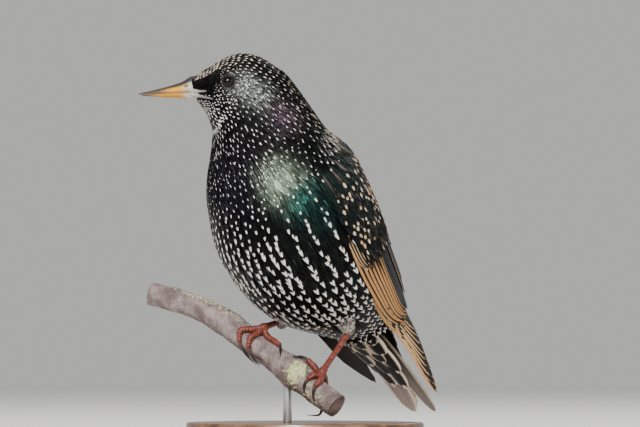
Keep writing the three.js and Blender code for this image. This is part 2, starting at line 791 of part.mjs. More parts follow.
function buildLegs(torsoRoom, perchRoom) {
  const clearRadii = TARSUS_RADII.map((radius) => radius + GAP);
  for (const name of Object.keys(SIDES)) {
    const { thigh, hock, joint } = LEGS[name];
    const knee = toWorld(...hock);
    const foot = toWorld(...joint);
    const way = foot.clone().sub(knee).normalize();
    const shin = [
      knee.clone().addScaledVector(way, TARSUS_ENDS.knee),
      knee.clone().addScaledVector(way, TARSUS_ENDS.calf),
      foot.clone().addScaledVector(way, TARSUS_ENDS.ankle),
      foot.clone().addScaledVector(way, TARSUS_ENDS.joint),
    ];
    const tarsus = limb(shin, TARSUS_RADII, LIMB_SIDES.tarsus);
    const tarsusRoom = limb(shin, clearRadii, LIMB_SIDES.tarsus);
    const thighLine = thigh.map((point) => toWorld(...point));
    const flesh = limb(thighLine, THIGH_RADII, LIMB_SIDES.thigh);
    place(`thigh_${name}`, flesh.subtract(torsoRoom).subtract(tarsusRoom), 'plumage');
    place(`tarsus_${name}`, tarsus.subtract(torsoRoom), 'leg');
    buildFoot(name, foot, way, perchRoom.add(tarsusRoom));
  }
}

/** One toe, from the leg's joint over its knuckles. */
function toe(joint, knuckles) {
  const line = curvePoints([joint, ...knuckles], TOE_STEPS);
  const radii = line.map((_, i) => TOE_RADIUS * (1 + TOE_KNUCKLE * ((i + 1) % 2) + TOE_TAPER * (3 - i)));
  return limb(line, radii, LIMB_SIDES.toe);
}

/** One claw, clear of the end of its toe. */
function talon(root, bends) {
  const line = curvePoints([root, ...bends], CLAW_STEPS);
  const clear = line.filter((point) => point.distanceTo(root) > TOE_RADIUS / 2 + GAP);
  const radii = clear.map((_, i) => mix(CLAW_RADIUS, CLAW_TIP, i / (clear.length - 1)));
  return limb(clear, radii, LIMB_SIDES.toe);
}

function buildFoot(name, joint, way, room) {
  const start = nearestPart(joint);
  const at = (usual) => ([along, degrees, height = usual]) => onBranch(start, along, degrees, height);
  const heel = joint.clone().addScaledVector(way, ANKLE.above);
  const pad = joint.clone().addScaledVector(way, ANKLE.below);
  const ankle = limb([heel, joint, pad], ANKLE.radii, LIMB_SIDES.ankle);
  const toes = TOES[name].map(({ path }) => toe(joint, path.map(at(TOE_HEIGHT))));
  place(`foot_${name}`, join([ankle, ...toes]).subtract(room), 'leg');
  TOES[name].forEach(({ path, claw }, i) => {
    const root = at(TOE_HEIGHT)(path[path.length - 1]);
    place(`claw_${name}_${i + 1}`, talon(root, claw.map(at(CLAW_HEIGHT))).subtract(room), 'claw');
  });
}

function buildStand(perchRoom) {
  place('perch_branch', branch(0), 'bark');
  const { middle } = branchFrame(nearestPart(ROD_TOP));
  const rodBottom = BASE_HEIGHT + GAP;
  const rod = new THREE.CylinderGeometry(ROD_RADIUS, ROD_RADIUS, middle.z - rodBottom, ROD_SIDES);
  rod.rotateX(Math.PI / 2);
  rod.translate(ROD_TOP.x, ROD_TOP.y, (middle.z + rodBottom) / 2);
  place('stand_rod', solid(rod).subtract(perchRoom), 'steel');
  const profile = [
    [0, 0],
    [BASE_RADIUS - BASE_EDGE / 2, 0],
    [BASE_RADIUS, BASE_EDGE / 2],
    [BASE_RADIUS, BASE_HEIGHT - BASE_EDGE],
    [BASE_RADIUS - BASE_EDGE, BASE_HEIGHT],
    [0, BASE_HEIGHT],
  ].map(([x, y]) => new THREE.Vector2(x, y));
  const base = new THREE.LatheGeometry(profile, BASE_SIDES);
  base.rotateX(Math.PI / 2);
  place('stand_base', solid(base), 'wood');
}

function buildBird() {
  const bodyEnd = BODY.length - 1;
  const torsoRoom = bodyLength(NECK_END - 1, bodyEnd, GAP + 0.05);
  const perchRoom = branch(GAP);
  buildHead();
  place('neck', bodyLength(HEAD_END + CUT.head, NECK_END - CUT.neck), 'plumage');
  place('torso', bodyLength(NECK_END + CUT.neck, bodyEnd), 'plumage');
  buildWings(torsoRoom);
  buildTail();
  buildTailCoverts();
  buildLegs(torsoRoom, perchRoom);
  buildStand(perchRoom);
}

buildBird();

export default group;
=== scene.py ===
"""Dresses the solids of a perched starling in feathers, skin, horn, bark and wood.

Sizes are millimetres in the bird's own plan, and metres once a mesh is made. The body is
described by rows along its spine, so a place on it is a row index, degrees round from the
ridge of the back towards the bird's left, and a lift above the feather tips' surface.
"""

from __future__ import annotations

import logging
import math
from dataclasses import dataclass, replace
from enum import Enum
from functools import cached_property
from typing import Callable, Protocol, Sequence

import bmesh
import bpy
import numpy as np
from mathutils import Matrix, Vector, noise


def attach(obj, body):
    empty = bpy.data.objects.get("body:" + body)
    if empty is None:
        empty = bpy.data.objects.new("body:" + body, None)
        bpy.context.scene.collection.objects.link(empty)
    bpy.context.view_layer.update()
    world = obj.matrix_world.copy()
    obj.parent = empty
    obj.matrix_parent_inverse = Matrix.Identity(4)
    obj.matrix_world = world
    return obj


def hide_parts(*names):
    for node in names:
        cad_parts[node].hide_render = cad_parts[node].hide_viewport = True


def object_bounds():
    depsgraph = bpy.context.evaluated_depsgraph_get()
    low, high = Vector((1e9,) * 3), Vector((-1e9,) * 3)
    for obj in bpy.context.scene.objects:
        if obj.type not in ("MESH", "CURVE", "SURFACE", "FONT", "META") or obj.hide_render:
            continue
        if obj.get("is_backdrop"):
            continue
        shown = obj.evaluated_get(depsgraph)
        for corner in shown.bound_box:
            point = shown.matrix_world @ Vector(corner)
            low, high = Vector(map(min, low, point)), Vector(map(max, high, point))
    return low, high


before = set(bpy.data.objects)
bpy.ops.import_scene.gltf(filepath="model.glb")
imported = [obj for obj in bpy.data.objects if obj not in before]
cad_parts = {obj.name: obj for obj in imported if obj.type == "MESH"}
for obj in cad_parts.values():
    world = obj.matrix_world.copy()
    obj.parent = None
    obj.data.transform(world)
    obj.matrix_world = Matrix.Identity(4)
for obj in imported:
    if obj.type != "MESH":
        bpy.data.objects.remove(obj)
CAD_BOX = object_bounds()

MM = 0.001
LOG = logging.getLogger("starling")

NO_MARK = 0.01  # Length of a pale tip that stays hidden
SCUTE_UNIT = 40.0  # Plates that a colour channel of 1 stands for

Array = np.ndarray
Material = bpy.types.Material
Mesh = bpy.types.Mesh
Random = np.random.Generator
Pair = tuple[float, float]
Colour = tuple[float, float, float]
Spot = tuple[float, float, float]
Four = tuple[float, float, float, float]
Pairs = tuple[tuple[float, float], ...]
Rows = tuple[tuple[float, ...], ...]
Place = Callable[[Array, Array], Array]


class Slot(Enum):
    """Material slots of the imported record."""

    PLUMAGE = "plumage"
    FLIGHT = "flight"
    COVERTS = "coverts"
    BILL = "bill"
    EYE = "eye"
    LEG = "leg"
    CLAW = "claw"
    BARK = "bark"
    STEEL = "steel"
    WOOD = "wood"


class Side(Enum):
    """The bird's own left and right, as a sign of the distance aside."""

    LEFT = 1
    RIGHT = -1


# Shader sums


@dataclass(frozen=True)
class Shade:
    """A shader socket that takes part in sums, products and comparisons."""

    graph: "Graph"
    socket: bpy.types.NodeSocket

    def _math(self, operation: str, *values: "Shade | float") -> "Shade":
        """The output of a new Math node, from its inputs in order."""
        return self.graph.add("ShaderNodeMath", dict(enumerate(values)), operation=operation)

    def __add__(self, other: "Shade | float") -> "Shade":
        """Sum."""
        return self._math("ADD", self, other)

    def __radd__(self, other: float) -> "Shade":
        """Sum with a plain number first."""
        return self._math("ADD", other, self)

    def __sub__(self, other: "Shade | float") -> "Shade":
        """Difference."""
        return self._math("SUBTRACT", self, other)

    def __rsub__(self, other: float) -> "Shade":
        """Difference from a plain number."""
        return self._math("SUBTRACT", other, self)

    def __mul__(self, other: "Shade | float") -> "Shade":
        """Product."""
        return self._math("MULTIPLY", self, other)

    def __rmul__(self, other: float) -> "Shade":
        """Product with a plain number first."""
        return self._math("MULTIPLY", other, self)

    def __truediv__(self, other: "Shade | float") -> "Shade":
        """Quotient."""
        return self._math("DIVIDE", self, other)

    def __abs__(self) -> "Shade":
        """Size without the sign."""
        return self._math("ABSOLUTE", self)

    def sine(self) -> "Shade":
        """Sine of an angle in radians."""
        return self._math("SINE", self)

    def root(self) -> "Shade":
        """Square root."""
        return self._math("SQRT", self)

    def over(self, other: "Shade | float") -> "Shade":
        """The larger of the two."""
        return self._math("MAXIMUM", self, other)

    def step(self, start: "Shade | float", end: "Shade | float") -> "Shade":
        """Smooth rise from 0 to 1 between two values."""
        values = {"Value": self, "From Min": start, "From Max": end}
        return self.graph.add("ShaderNodeMapRange", values, interpolation_type="SMOOTHSTEP")


class Graph:
    """One material's nodes."""

    def __init__(self, name: str) -> None:
        """Starts an empty material.

        Args:
            name: The material's name.
        """
        self.material = bpy.data.materials.new(name)
        self.material.use_nodes = True
        self.tree = self.material.node_tree
        self.tree.nodes.clear()

    def add(
        self,
        kind: str,
        inputs: dict[str | int, object] | None = None,
        output: str | int = 0,
        **settings: object,
    ) -> Shade:
        """Adds any node.

        Args:
            kind: The node's type.
            inputs: Values or links by socket name or number.
            output: Which output is wanted.
            settings: The node's own properties, which are set first.

        Returns:
            The output as a shade.
        """
        node = self.tree.nodes.new(kind)
        for name, value in settings.items():
            setattr(node, name, value)
        for key, value in (inputs or {}).items():
            if isinstance(value, Shade):
                self.tree.links.new(value.socket, node.inputs[key])
            else:
                node.inputs[key].default_value = value
        return Shade(self, node.outputs[output])

    def mix(self, share: Shade | float, start: Shade | Colour, end: Shade | Colour) -> Shade:
        """Blends two colours, by the share of the second."""
        wide = [c if isinstance(c, Shade) else (*c, 1.0) for c in (start, end)]
        return self.add("ShaderNodeMix", {0: share, 6: wide[0], 7: wide[1]}, 2, data_type="RGBA")

    def object_place(self) -> Shade:
        """Coordinates in the finished object, in metres."""
        return self.add("ShaderNodeTexCoord", output="Object")

    def stretched(self, scale: Spot, turn: Spot = (0.0, 0.0, 0.0)) -> Shade:
        """The object's coordinates, drawn out along the axes and then turned, in radians."""
        inputs = {"Vector": self.object_place(), "Rotation": turn, "Scale": scale}
        return self.add("ShaderNodeMapping", inputs)

    def speckle(self, cells: float, detail: float = 3.0, where: Shade | None = None) -> Shade:
        """Smooth noise from 0 to 1, by cells in a metre, octaves and coordinates."""
        inputs = {"Vector": where or self.object_place(), "Scale": cells, "Detail": detail}
        return self.add("ShaderNodeTexNoise", inputs)

    def uv(self, name: str) -> list[Shade]:
        """The two numbers of a UV map, across and along."""
        parts = {"Vector": self.add("ShaderNodeUVMap", uv_map=name)}
        return [self.add("ShaderNodeSeparateXYZ", parts, output) for output in (0, 1)]

    def stored(self, name: str) -> tuple[Shade, list[Shade], Shade]:
        """A colour kept on the mesh.

        Args:
            name: The attribute's name.

        Returns:
            The colour, its three channels, and its alpha.
        """
        colour = self.add("ShaderNodeAttribute", output="Color", attribute_name=name)
        alpha = self.add("ShaderNodeAttribute", output="Alpha", attribute_name=name)
        parts = [self.add("ShaderNodeSeparateColor", {0: colour}, output=n) for n in range(3)]
        return colour, parts, alpha

    def bump(self, height: Shade, distance: float) -> Shade:
        """The normal bent by heights from 0 to 1, of a given depth in metres."""
        return self.add("ShaderNodeBump", {"Height": height, "Distance": distance, "Strength": 1.0})

    def finish(self, **surface: object) -> Material:
        """Closes the material with one shiny surface.

        Args:
            surface: Values of the surface's sockets, with _ for a blank.

        Returns:
            The material.
        """
        inputs = {name.replace("_", " "): value for name, value in surface.items()}
        shader = self.add("ShaderNodeBsdfPrincipled", inputs)
        self.add_output(shader)
        return self.material

    def add_output(self, shader: Shade) -> None:
        """Sends a shader to the surface."""
        node = self.tree.nodes.new("ShaderNodeOutputMaterial")
        self.tree.links.new(shader.socket, node.inputs["Surface"])


# Finishes


@dataclass(frozen=True)
class FeatherFinish:
    """Feathers whose gloss, trim and marks are kept on the mesh, one set for each vane."""

    name: str
    roughness: float = 0.3
    trim_roughness: float = 0.75
    barbs: float = 24.0
    barb_depth: float = 0.05
    barb_shade: float = 0.2
    barb_fan: float = 1.9
    shaft: float = 1.0
    softness: float = 0.3
    slender: float = 4.0
    # Contrast of the painted glints, and the painted shadow colour between them
    glint_streaks: float = 0.88
    shadow: Colour = (0.004, 0.004, 0.005)
    specular: float = 0.14
    wobble_cells: float = 1400.0

    def make(self) -> Material:
        """Builds the material.

        Returns:
            The material.
        """
        g = Graph(self.name)
        across, v = g.uv("vane")
        u = across * 2.0 - 1.0
        side = abs(u)
        sheen, _, metal = g.stored("sheen")
        trim, _, lobes = g.stored("trim")
        _, (length, width, fringe_width), both = g.stored("mark")
        wobble = g.speckle(self.wobble_cells, 2.0) - 0.5
        fore = (1.0 - v) / length
        aside = (side - lobes * width * fore) / (width * (1.0 - lobes * 0.5))
        reach = (fore * fore + aside * aside).root() + wobble * 0.4
        tip = 1.0 - reach.step(1.0 - self.softness, 1.0 + self.softness * 0.5)
        tip = tip * length.step(2 * NO_MARK, 5 * NO_MARK)
        edge = (u + (side - u) * both).over(1.0 - (1.0 - v) * self.slender) + wobble * 0.1
        fringe = edge.step(1.0 - fringe_width, 1.0 - fringe_width * 0.45)
        marked = tip.over(fringe * fringe_width.step(0.0, 0.02))
        strands = {0: across * 13.0, 1: v * 1.1, 2: length * 70.0 + width * 30.0}
        # Painted glints: the gloss is full along streaks that follow the barbs and falls to the
        # painted shadow colour between them
        glint_streak = g.speckle(1.0, 3.0, g.add("ShaderNodeCombineXYZ", strands)).step(0.4, 0.66)
        barb = ((v * self.barbs - side * self.barb_fan) * (2 * math.pi)).sine() * 0.5 + 0.5
        shaft = (1.0 - side.step(0.02, 0.1)) * self.shaft
        gloss = g.mix(glint_streak * self.glint_streaks + (1.0 - self.glint_streaks), self.shadow, sheen)
        # Painted shade: the colour darkens between the barbs and towards the root, where the
        # feather above covers it
        shade = (barb * self.barb_shade + (1.0 - self.barb_shade)) * (v.step(-0.4, 0.6) * 0.3 + 0.7)
        return g.finish(
            Base_Color=g.mix(1.0 - shade, g.mix(marked, gloss, trim), (0, 0, 0)),
            Metallic=metal * (1.0 - marked),
            Roughness=marked * (self.trim_roughness - self.roughness) + (
                self.roughness + 0.12 - glint_streak * 0.12 + wobble * 0.12
            ),
            Specular_IOR_Level=self.specular,
            Normal=g.bump(barb * 0.6 + shaft, self.barb_depth * MM),
        )


@dataclass(frozen=True)
class SkinFinish:
    """Dark skin and down under the coat, with the coat's own markings kept on the mesh."""

    name: str
    pore: Colour = (0.006, 0.006, 0.007)
    pore_cells: float = 900.0

    def make(self) -> Material:
        """Builds the material.

        Returns:
            The material.
        """
        g = Graph(self.name)
        sheen, _, metal = g.stored("sheen")
        down = g.speckle(self.pore_cells)
        return g.finish(
            Base_Color=g.mix(down * 0.5 + 0.2, sheen, self.pore),
            Metallic=metal * 0.3,
            Roughness=down * 0.3 + 0.55,
            Specular_IOR_Level=0.1,
            Normal=g.bump(down, 0.2 * MM),
        )


@dataclass(frozen=True)
class HornFinish:
    """Horn whose colour is kept on the mesh, with fine growth lines."""

    name: str
    roughness: float = 0.34
    grain: float = 900.0
    depth: float = 0.03
    cloud: Colour = (0.09, 0.065, 0.05)

    def make(self) -> Material:
        """Builds the material.

        Returns:
            The material.
        """
        g = Graph(self.name)
        tone, _, _ = g.stored("tone")
        cloud = g.speckle(self.grain)
        lines = g.speckle(self.grain * 2.0, 4.0, g.stretched((0.25, 1.0, 2.5)))
        return g.finish(
            Base_Color=g.mix(cloud.step(0.35, 0.8) * 0.12, tone, self.cloud),
            Roughness=lines * 0.25 + self.roughness - 0.1,
            Specular_IOR_Level=0.12,
            Normal=g.bump(lines, self.depth * MM),
        )


@dataclass(frozen=True)
class EyeFinish:
    """Dark brown iris round a black pupil under a wet front."""

    name: str
    iris: Colour = (0.016, 0.008, 0.005)
    fleck: Colour = (0.032, 0.015, 0.009)
    pupil: Colour = (0.002, 0.002, 0.002)
    rim: Colour = (0.01, 0.008, 0.007)

    def make(self) -> Material:
        """Builds the material.

        Returns:
            The material.
        """
        g = Graph(self.name)
        _, (out, _, _), _ = g.stored("tone")
        fleck = g.speckle(2600.0, 3.0)
        ring = out.step(0.5, 0.58)
        rim = out.step(0.82, 0.95)
        iris = g.mix(fleck.step(0.3, 0.7), self.iris, self.fleck)
        return g.finish(
            Base_Color=g.mix(rim, g.mix(ring, self.pupil, iris), self.rim),
            Roughness=0.05,
            Specular_IOR_Level=0.25,
        )


@dataclass(frozen=True)
class LidFinish:
    """Bare rim of the eye, pale below and dark above."""

    name: str
    pore: Colour = (0.03, 0.025, 0.025)

    def make(self) -> Material:
        """Builds the material.

        Returns:
            The material.
        """
        g = Graph(self.name)
        tone, _, _ = g.stored("tone")
        bead = g.speckle(3200.0, 1.0)
        return g.finish(
            Base_Color=g.mix(bead * 0.4, tone, self.pore),
            Roughness=0.6,
            Specular_IOR_Level=0.15,
            Normal=g.bump(bead, 0.08 * MM),
        )


@dataclass(frozen=True)
class ScaleFinish:
    """Scaled skin of legs and toes: overlapping scutes in front, small scales elsewhere."""

    name: str
    flesh: Colour = (0.12, 0.016, 0.010)
    pale: Colour = (0.24, 0.055, 0.030)
    # Painted shade in the grooves between scales
    groove_shade: Colour = (0.035, 0.008, 0.007)

    def make(self) -> Material:
        """Builds the material.

        Returns:
            The material.
        """
        g = Graph(self.name)
        _, (along, front, _), _ = g.stored("tone")
        saw = g.add("ShaderNodeMath", {0: along * SCUTE_UNIT}, operation="FRACT")
        plate = saw.step(0.0, 0.16) * (1.0 - saw.step(0.9, 1.0))
        small = g.add(
            "ShaderNodeTexVoronoi",
            {"Vector": g.object_place(), "Scale": 1500.0},
            output="Distance",
            feature="DISTANCE_TO_EDGE",
        ).step(0.0, 0.12)
        relief = small + (plate - small) * front
        mottle = g.speckle(700.0)
        skin = g.mix(mottle.step(0.3, 0.75), self.flesh, self.pale)
        return g.finish(
            # Painted shade: the grooves between plates and scales take the dark colour, where the
            # bump sinks
            Base_Color=g.mix(relief, self.groove_shade, skin),
            Roughness=mottle * 0.2 + 0.38,
            Normal=g.bump(relief, 0.16 * MM),
        )


@dataclass(frozen=True)
class BarkFinish:
    """Grey-purple bark with rings, cracks and crusts of lichen."""

    name: str
    bark: Colour = (0.105, 0.072, 0.066)
    worn: Colour = (0.26, 0.20, 0.185)
    crack: Colour = (0.07, 0.045, 0.042)
    dust: Colour = (0.5, 0.42, 0.4)
    wound: Colour = (0.05, 0.03, 0.025)
    lichen: Colour = (0.34, 0.35, 0.15)
    lichen_edge: Colour = (0.62, 0.60, 0.38)
    sawn: Colour = (0.62, 0.47, 0.30)
    sawn_grain: Colour = (0.48, 0.33, 0.19)

    def make(self) -> Material:
        """Builds the material.

        Returns:
            The material.
        """
        g = Graph(self.name)
        _, (crust, wound, cut), _ = g.stored("tone")
        broad = g.speckle(160.0, 5.0)
        fine = g.speckle(1300.0, 5.0)
        rings = g.speckle(420.0, 3.0, g.stretched((2.6, 0.5, 0.5), (0.0, 0.7, -0.4)))
        wood = g.mix(broad.step(0.35, 0.68), self.bark, self.worn)
        wood = g.mix(rings.step(0.52, 0.7) * 0.55, wood, self.crack)
        wood = g.mix(fine.step(0.55, 0.75) * 0.4, wood, self.dust)
        wood = g.mix(wound, wood, self.wound)
        growth = (crust + (g.speckle(520.0, 6.0) - 0.5) * 1.5).step(0.42, 0.62)
        green = g.mix(g.speckle(900.0).step(0.4, 0.7), self.lichen, self.lichen_edge)
        tone = g.mix(growth, wood, green)
        tone = g.mix(cut, tone, g.mix(g.speckle(900.0, 2.0), self.sawn, self.sawn_grain))
        return g.finish(
            Base_Color=tone,
            Roughness=fine * 0.25 + 0.66,
            Normal=g.bump(fine * 0.5 + rings * 0.4 + growth * 0.5, 0.5 * MM),
        )


@dataclass(frozen=True)
class VarnishFinish:
    """Turned and varnished wood, its grain running across the base."""

    name: str
    dark: Colour = (0.085, 0.036, 0.016)
    light: Colour = (0.22, 0.105, 0.046)
    pore: Colour = (0.03, 0.014, 0.007)

    def make(self) -> Material:
        """Builds the material.

        Returns:
            The material.
        """
        g = Graph(self.name)
        stretch = g.stretched((0.12, 1.0, 1.0))
        grain = g.speckle(190.0, 6.0, stretch)
        pores = g.speckle(1500.0, 2.0, stretch)
        tone = g.mix(grain.step(0.32, 0.68), self.dark, self.light)
        return g.finish(
            Base_Color=g.mix(pores.step(0.58, 0.7) * 0.5, tone, self.pore),
            Roughness=grain * 0.12 + 0.3,
            Coat_Weight=0.35,
            Coat_Roughness=0.15,
            Normal=g.bump(pores, 0.06 * MM),
        )


@dataclass(frozen=True)
class SteelFinish:
    """Brushed steel, drawn lengthways."""

    name: str
    tone: Colour = (0.56, 0.57, 0.58)
    scratch: Colour = (0.35, 0.35, 0.36)

    def make(self) -> Material:
        """Builds the material.

        Returns:
            The material.
        """
        g = Graph(self.name)
        scratch = g.speckle(4200.0, 3.0, g.stretched((1.0, 1.0, 0.03)))
        return g.finish(
            Base_Color=g.mix(scratch * 0.3, self.tone, self.scratch),
            Metallic=1.0,
            Roughness=scratch * 0.2 + 0.22,
            Normal=g.bump(scratch, 0.02 * MM),
        )


@dataclass(frozen=True)
class FloorFinish:
    """Pale floor that fades into the studio's background."""

    name: str
    near: Colour = (0.78, 0.77, 0.75)
    mottle: Colour = (0.7, 0.7, 0.7)
    far: Colour = (0.50, 0.50, 0.49)
    fade: Pair = (0.35, 1.6)

    def make(self) -> Material:
        """Builds the material.

        Returns:
            The material.
        """
        g = Graph(self.name)
        place = {0: g.object_place()}
        away = g.add("ShaderNodeVectorMath", place, output="Value", operation="LENGTH")
        paint = g.mix(g.speckle(9.0) * 0.03, self.near, self.mottle)
        lit = g.add("ShaderNodeBsdfPrincipled", {"Base Color": paint, "Roughness": 0.8})
        glow = g.add("ShaderNodeEmission", {"Color": (*self.far, 1.0), "Strength": 1.0})
        g.add_output(g.add("ShaderNodeMixShader", {0: away.step(*self.fade), 1: lit, 2: glow}))
        return g.material


# Curves and surfaces


def along_rows(rows: Array, index: Array) -> Array:
    """Values part way along a table, on a smooth curve through its rows.

    Args:
        rows: The table.
        index: Places in it, as row numbers with parts.

    Returns:
        One row for each place.
    """
    index = np.asarray(index, float)
    start = np.clip(np.floor(index).astype(int), 0, len(rows) - 2)
    part = (index - start)[..., None]
    here, ahead = rows[start], rows[start + 1]
    slope_in = (ahead - rows[np.maximum(start - 1, 0)]) / 2
    slope_out = (rows[np.minimum(start + 2, len(rows) - 1)] - here) / 2
    bend = 2 * (here - ahead) + slope_in + slope_out
    rise = 3 * (ahead - here) - 2 * slope_in - slope_out
    return here + part * (slope_in + part * (rise + part * bend))


def look_up(rows: Rows, along: Array) -> Array:
    """One row for each place along a table, given by its first column, which falls."""
    rows = np.array(rows, float)
    return along_rows(rows, np.interp(-np.asarray(along), -rows[:, 0], np.arange(len(rows))))


def smooth(part: Array) -> Array:
    """Smooth rise from 0 to 1."""
    part = np.clip(part, 0, 1)
    return part * part * (3 - 2 * part)


def mix(start: Array | float, end: Array | float, part: Array | float) -> Array:
    """Value part way between two others."""
    return start + (end - start) * part


def columns(*parts: Array | float) -> Array:
    """Values side by side in a row for each place, a plain number being the same for all."""
    return np.column_stack(np.broadcast_arrays(*parts))


def rows_of(count: int, *values: float) -> Array:
    """One row of numbers, repeated."""
    return np.tile(np.array(values, float), (count, 1))


def opaque(colour: Array) -> Array:
    """Colours with an alpha of 1."""
    return np.column_stack([colour, np.ones(len(colour))])


def from_ridge(around: Array) -> Array:
    """Degrees from the ridge of the back to either side, at most 180."""
    return np.abs((np.asarray(around) + 180) % 360 - 180)


class Surface(Protocol):
    """Anything that feathers lie on."""

    def point(self, along: Array, around: Array, lift: Array | float = 0.0) -> Array:
        """Places on the surface, in millimetres."""


@dataclass(frozen=True)
class BirdFrame:
    """The bird's own frame: x ahead, y to its left, z up from mid body."""

    centre: Spot = (-2.3, 0.0, 102.3)
    heading: float = math.radians(227)
    lean: float = math.radians(51)
    neck_ahead: float = 22.0
    head_turn: float = 47.0

    def world(self, ahead: Array, aside: Array, height: Array, turn: Array | float = 0.0) -> Array:
        """Places in the stand's frame.

        Args:
            ahead: Distances ahead.
            aside: Distances to the left.
            height: Heights.
            turn: Degrees turned to the right about the neck.

        Returns:
            Points in millimetres.
        """
        angle = -np.radians(turn)
        x = ahead - self.neck_ahead
        x, y = x * np.cos(angle) - aside * np.sin(angle), x * np.sin(angle) + aside * np.cos(angle)
        x = x + self.neck_ahead
        cos, sin = math.cos(self.heading), math.sin(self.heading)
        cx, cy, cz = self.centre
        x, y, z = np.broadcast_arrays(x * cos - y * sin + cx, x * sin + y * cos + cy, height + cz)
        return np.stack([x, y, z], axis=-1)

    def on_head(self, ahead: Array, aside: Array, height: Array) -> Array:
        """Places on the head, which is turned as a whole."""
        return self.world(ahead, aside, height, self.head_turn)

    def on_axis(self, along: Array, aside: Array, rise: Array) -> Array:
        """Places by the body's own axis.

        Args:
            along: Distances along the axis, towards the head.
            aside: Distances to the left.
            rise: Distances from the axis towards the back.

        Returns:
            Points in millimetres.
        """
        cos, sin = math.cos(self.lean), math.sin(self.lean)
        swing = -0.03 * np.maximum(-40 - along, 0)
        return self.world(along * cos - rise * sin, aside + swing, along * sin + rise * cos)


BIRD = BirdFrame()


@dataclass(frozen=True)
class BodyPlan:
    """The whole body from the bill's root to the tail's.

    The head's and neck's rows are distance ahead, height, backward tilt, half depth, half width
    and turn. The torso's are distance along the axis, rise, half depth and half width. Beyond
    the last row the body runs straight on, by the last step for each index.
    """

    head: Rows = (
        (55.2, 57.2, -13, 4.9, 4.6, 47), (52.6, 57.6, 1, 6.7, 6.3, 47),
        (49.7, 58.2, 12, 8.9, 8.2, 47), (46.8, 59.2, 19, 11.7, 9.9, 47),
        (43.4, 59.8, 26, 14.5, 11.0, 47), (39.8, 59.2, 33, 16.7, 11.9, 47),
        (36.3, 57.5, 41, 18.3, 12.8, 46), (33.1, 54.5, 47, 19.6, 14.0, 42),
        (29.8, 50.2, 52, 21.2, 16.5, 34), (27.8, 42.0, 53, 24.8, 20.0, 22),
        (25.6, 32.0, 52, 29.2, 25.0, 8),
    )
    torso: Rows = (
        (31, -2.8, 32.6, 29.0), (22, -3.1, 35.6, 31.7), (13, -3.6, 38.2, 33.8),
        (4, -4.8, 38.6, 35.0), (-7, -5.2, 37.4, 35.5), (-17, -5.4, 35.8, 35.0),
        (-28, -4.6, 33.6, 33.0), (-40, -2.4, 29.6, 29.4), (-50, 0.6, 24.4, 24.6),
        (-58, 2.4, 19.4, 19.4), (-64, 3.8, 14.8, 15.4),
    )

    last_step: float = 6.0

    @cached_property
    def rows(self) -> Array:
        """All rows in the head's columns, the torso's worked out to match."""
        along, rise, depth, width = np.array(self.torso, float).T
        cos, sin = math.cos(BIRD.lean), math.sin(BIRD.lean)
        ahead, height = along * cos - rise * sin, along * sin + rise * cos
        torso = columns(ahead, height, math.degrees(BIRD.lean), depth, width, 0.0)
        return np.vstack([np.array(self.head, float), torso])

    @property
    def end(self) -> float:
        """Index of the last row."""
        return len(self.rows) - 1.0

    def point(self, along: Array, around: Array, lift: Array | float = 0.0) -> Array:
        """Places on the body.

        Args:
            along: Row index.
            around: Degrees from the ridge of the back to the left.
            lift: Millimetres above the surface.

        Returns:
            Points in millimetres.
        """
        over = np.maximum(along - self.end, 0)
        ahead, height, tilt, depth, width, turn = np.moveaxis(
            along_rows(self.rows, np.minimum(along, self.end)), -1, 0
        )
        angle, back = np.radians(around), np.radians(tilt)
        rise = (depth + lift) * np.cos(angle)
        aside = (width + lift) * np.sin(angle)
        step = over * self.last_step
        return BIRD.world(
            ahead - np.sin(back) * rise - step * math.cos(BIRD.lean),
            aside,
            height + np.cos(back) * rise - step * math.sin(BIRD.lean),
            turn,
        )


BODY = BodyPlan()


@dataclass(frozen=True)
class WingPlan:
    """Outer surface of one folded wing: distance along the axis, rise, half depth, half width.

    Hang is how far the right wing's lower edge drops, by distance along the axis.
    """

    side: Side
    clearance: float = 0.5
    wrap: Rows = (
        (31, -2.8, 32.6, 29.0), (22, -3.1, 35.6, 32.0), (13, -3.6, 38.0, 34.2),
        (4, -4.8, 38.4, 35.4), (-7, -5.2, 37.2, 36.0), (-17, -5.4, 35.4, 35.5),
        (-28, -4.7, 33.2, 33.8), (-40, -2.8, 30.0, 30.6), (-52, 0.6, 26.4, 25.8),
        (-62, 4.9, 21.4, 20.8), (-70, 7.8, 16.2, 19.2), (-80, 9.5, 12.6, 19.0),
        (-90, 10.0, 10.5, 18.8), (-100, 9.6, 9.0, 18.6), (-112, 9.0, 8.0, 18.2),
    )
    hang: Pairs = (
        (31, 0), (-45, 0), (-58, 5), (-68, 8.6), (-80, 9), (-91, 5.7), (-103, 1.2), (-112, 0),
    )
    hang_edge: float = 1.7


    def point(self, along: Array, around: Array, lift: Array | float = 0.0) -> Array:
        """Places on the wing.

        Args:
            along: Distance along the body's axis.
            around: Degrees from the ridge of the back to this wing's side.
            lift: Millimetres above the surface.

        Returns:
            Points in millimetres.
        """
        _, rise, depth, width = np.moveaxis(look_up(self.wrap, along), -1, 0)
        angle = np.radians(around)
        aside = np.maximum((width + lift) * np.sin(angle), self.clearance)
        if self.side is Side.RIGHT:
            drop = look_up(self.hang, along)[..., 1]
            rise = rise - drop * (angle / self.hang_edge) ** 2
        return BIRD.on_axis(along, self.side.value * aside, rise + (depth + lift) * np.cos(angle))


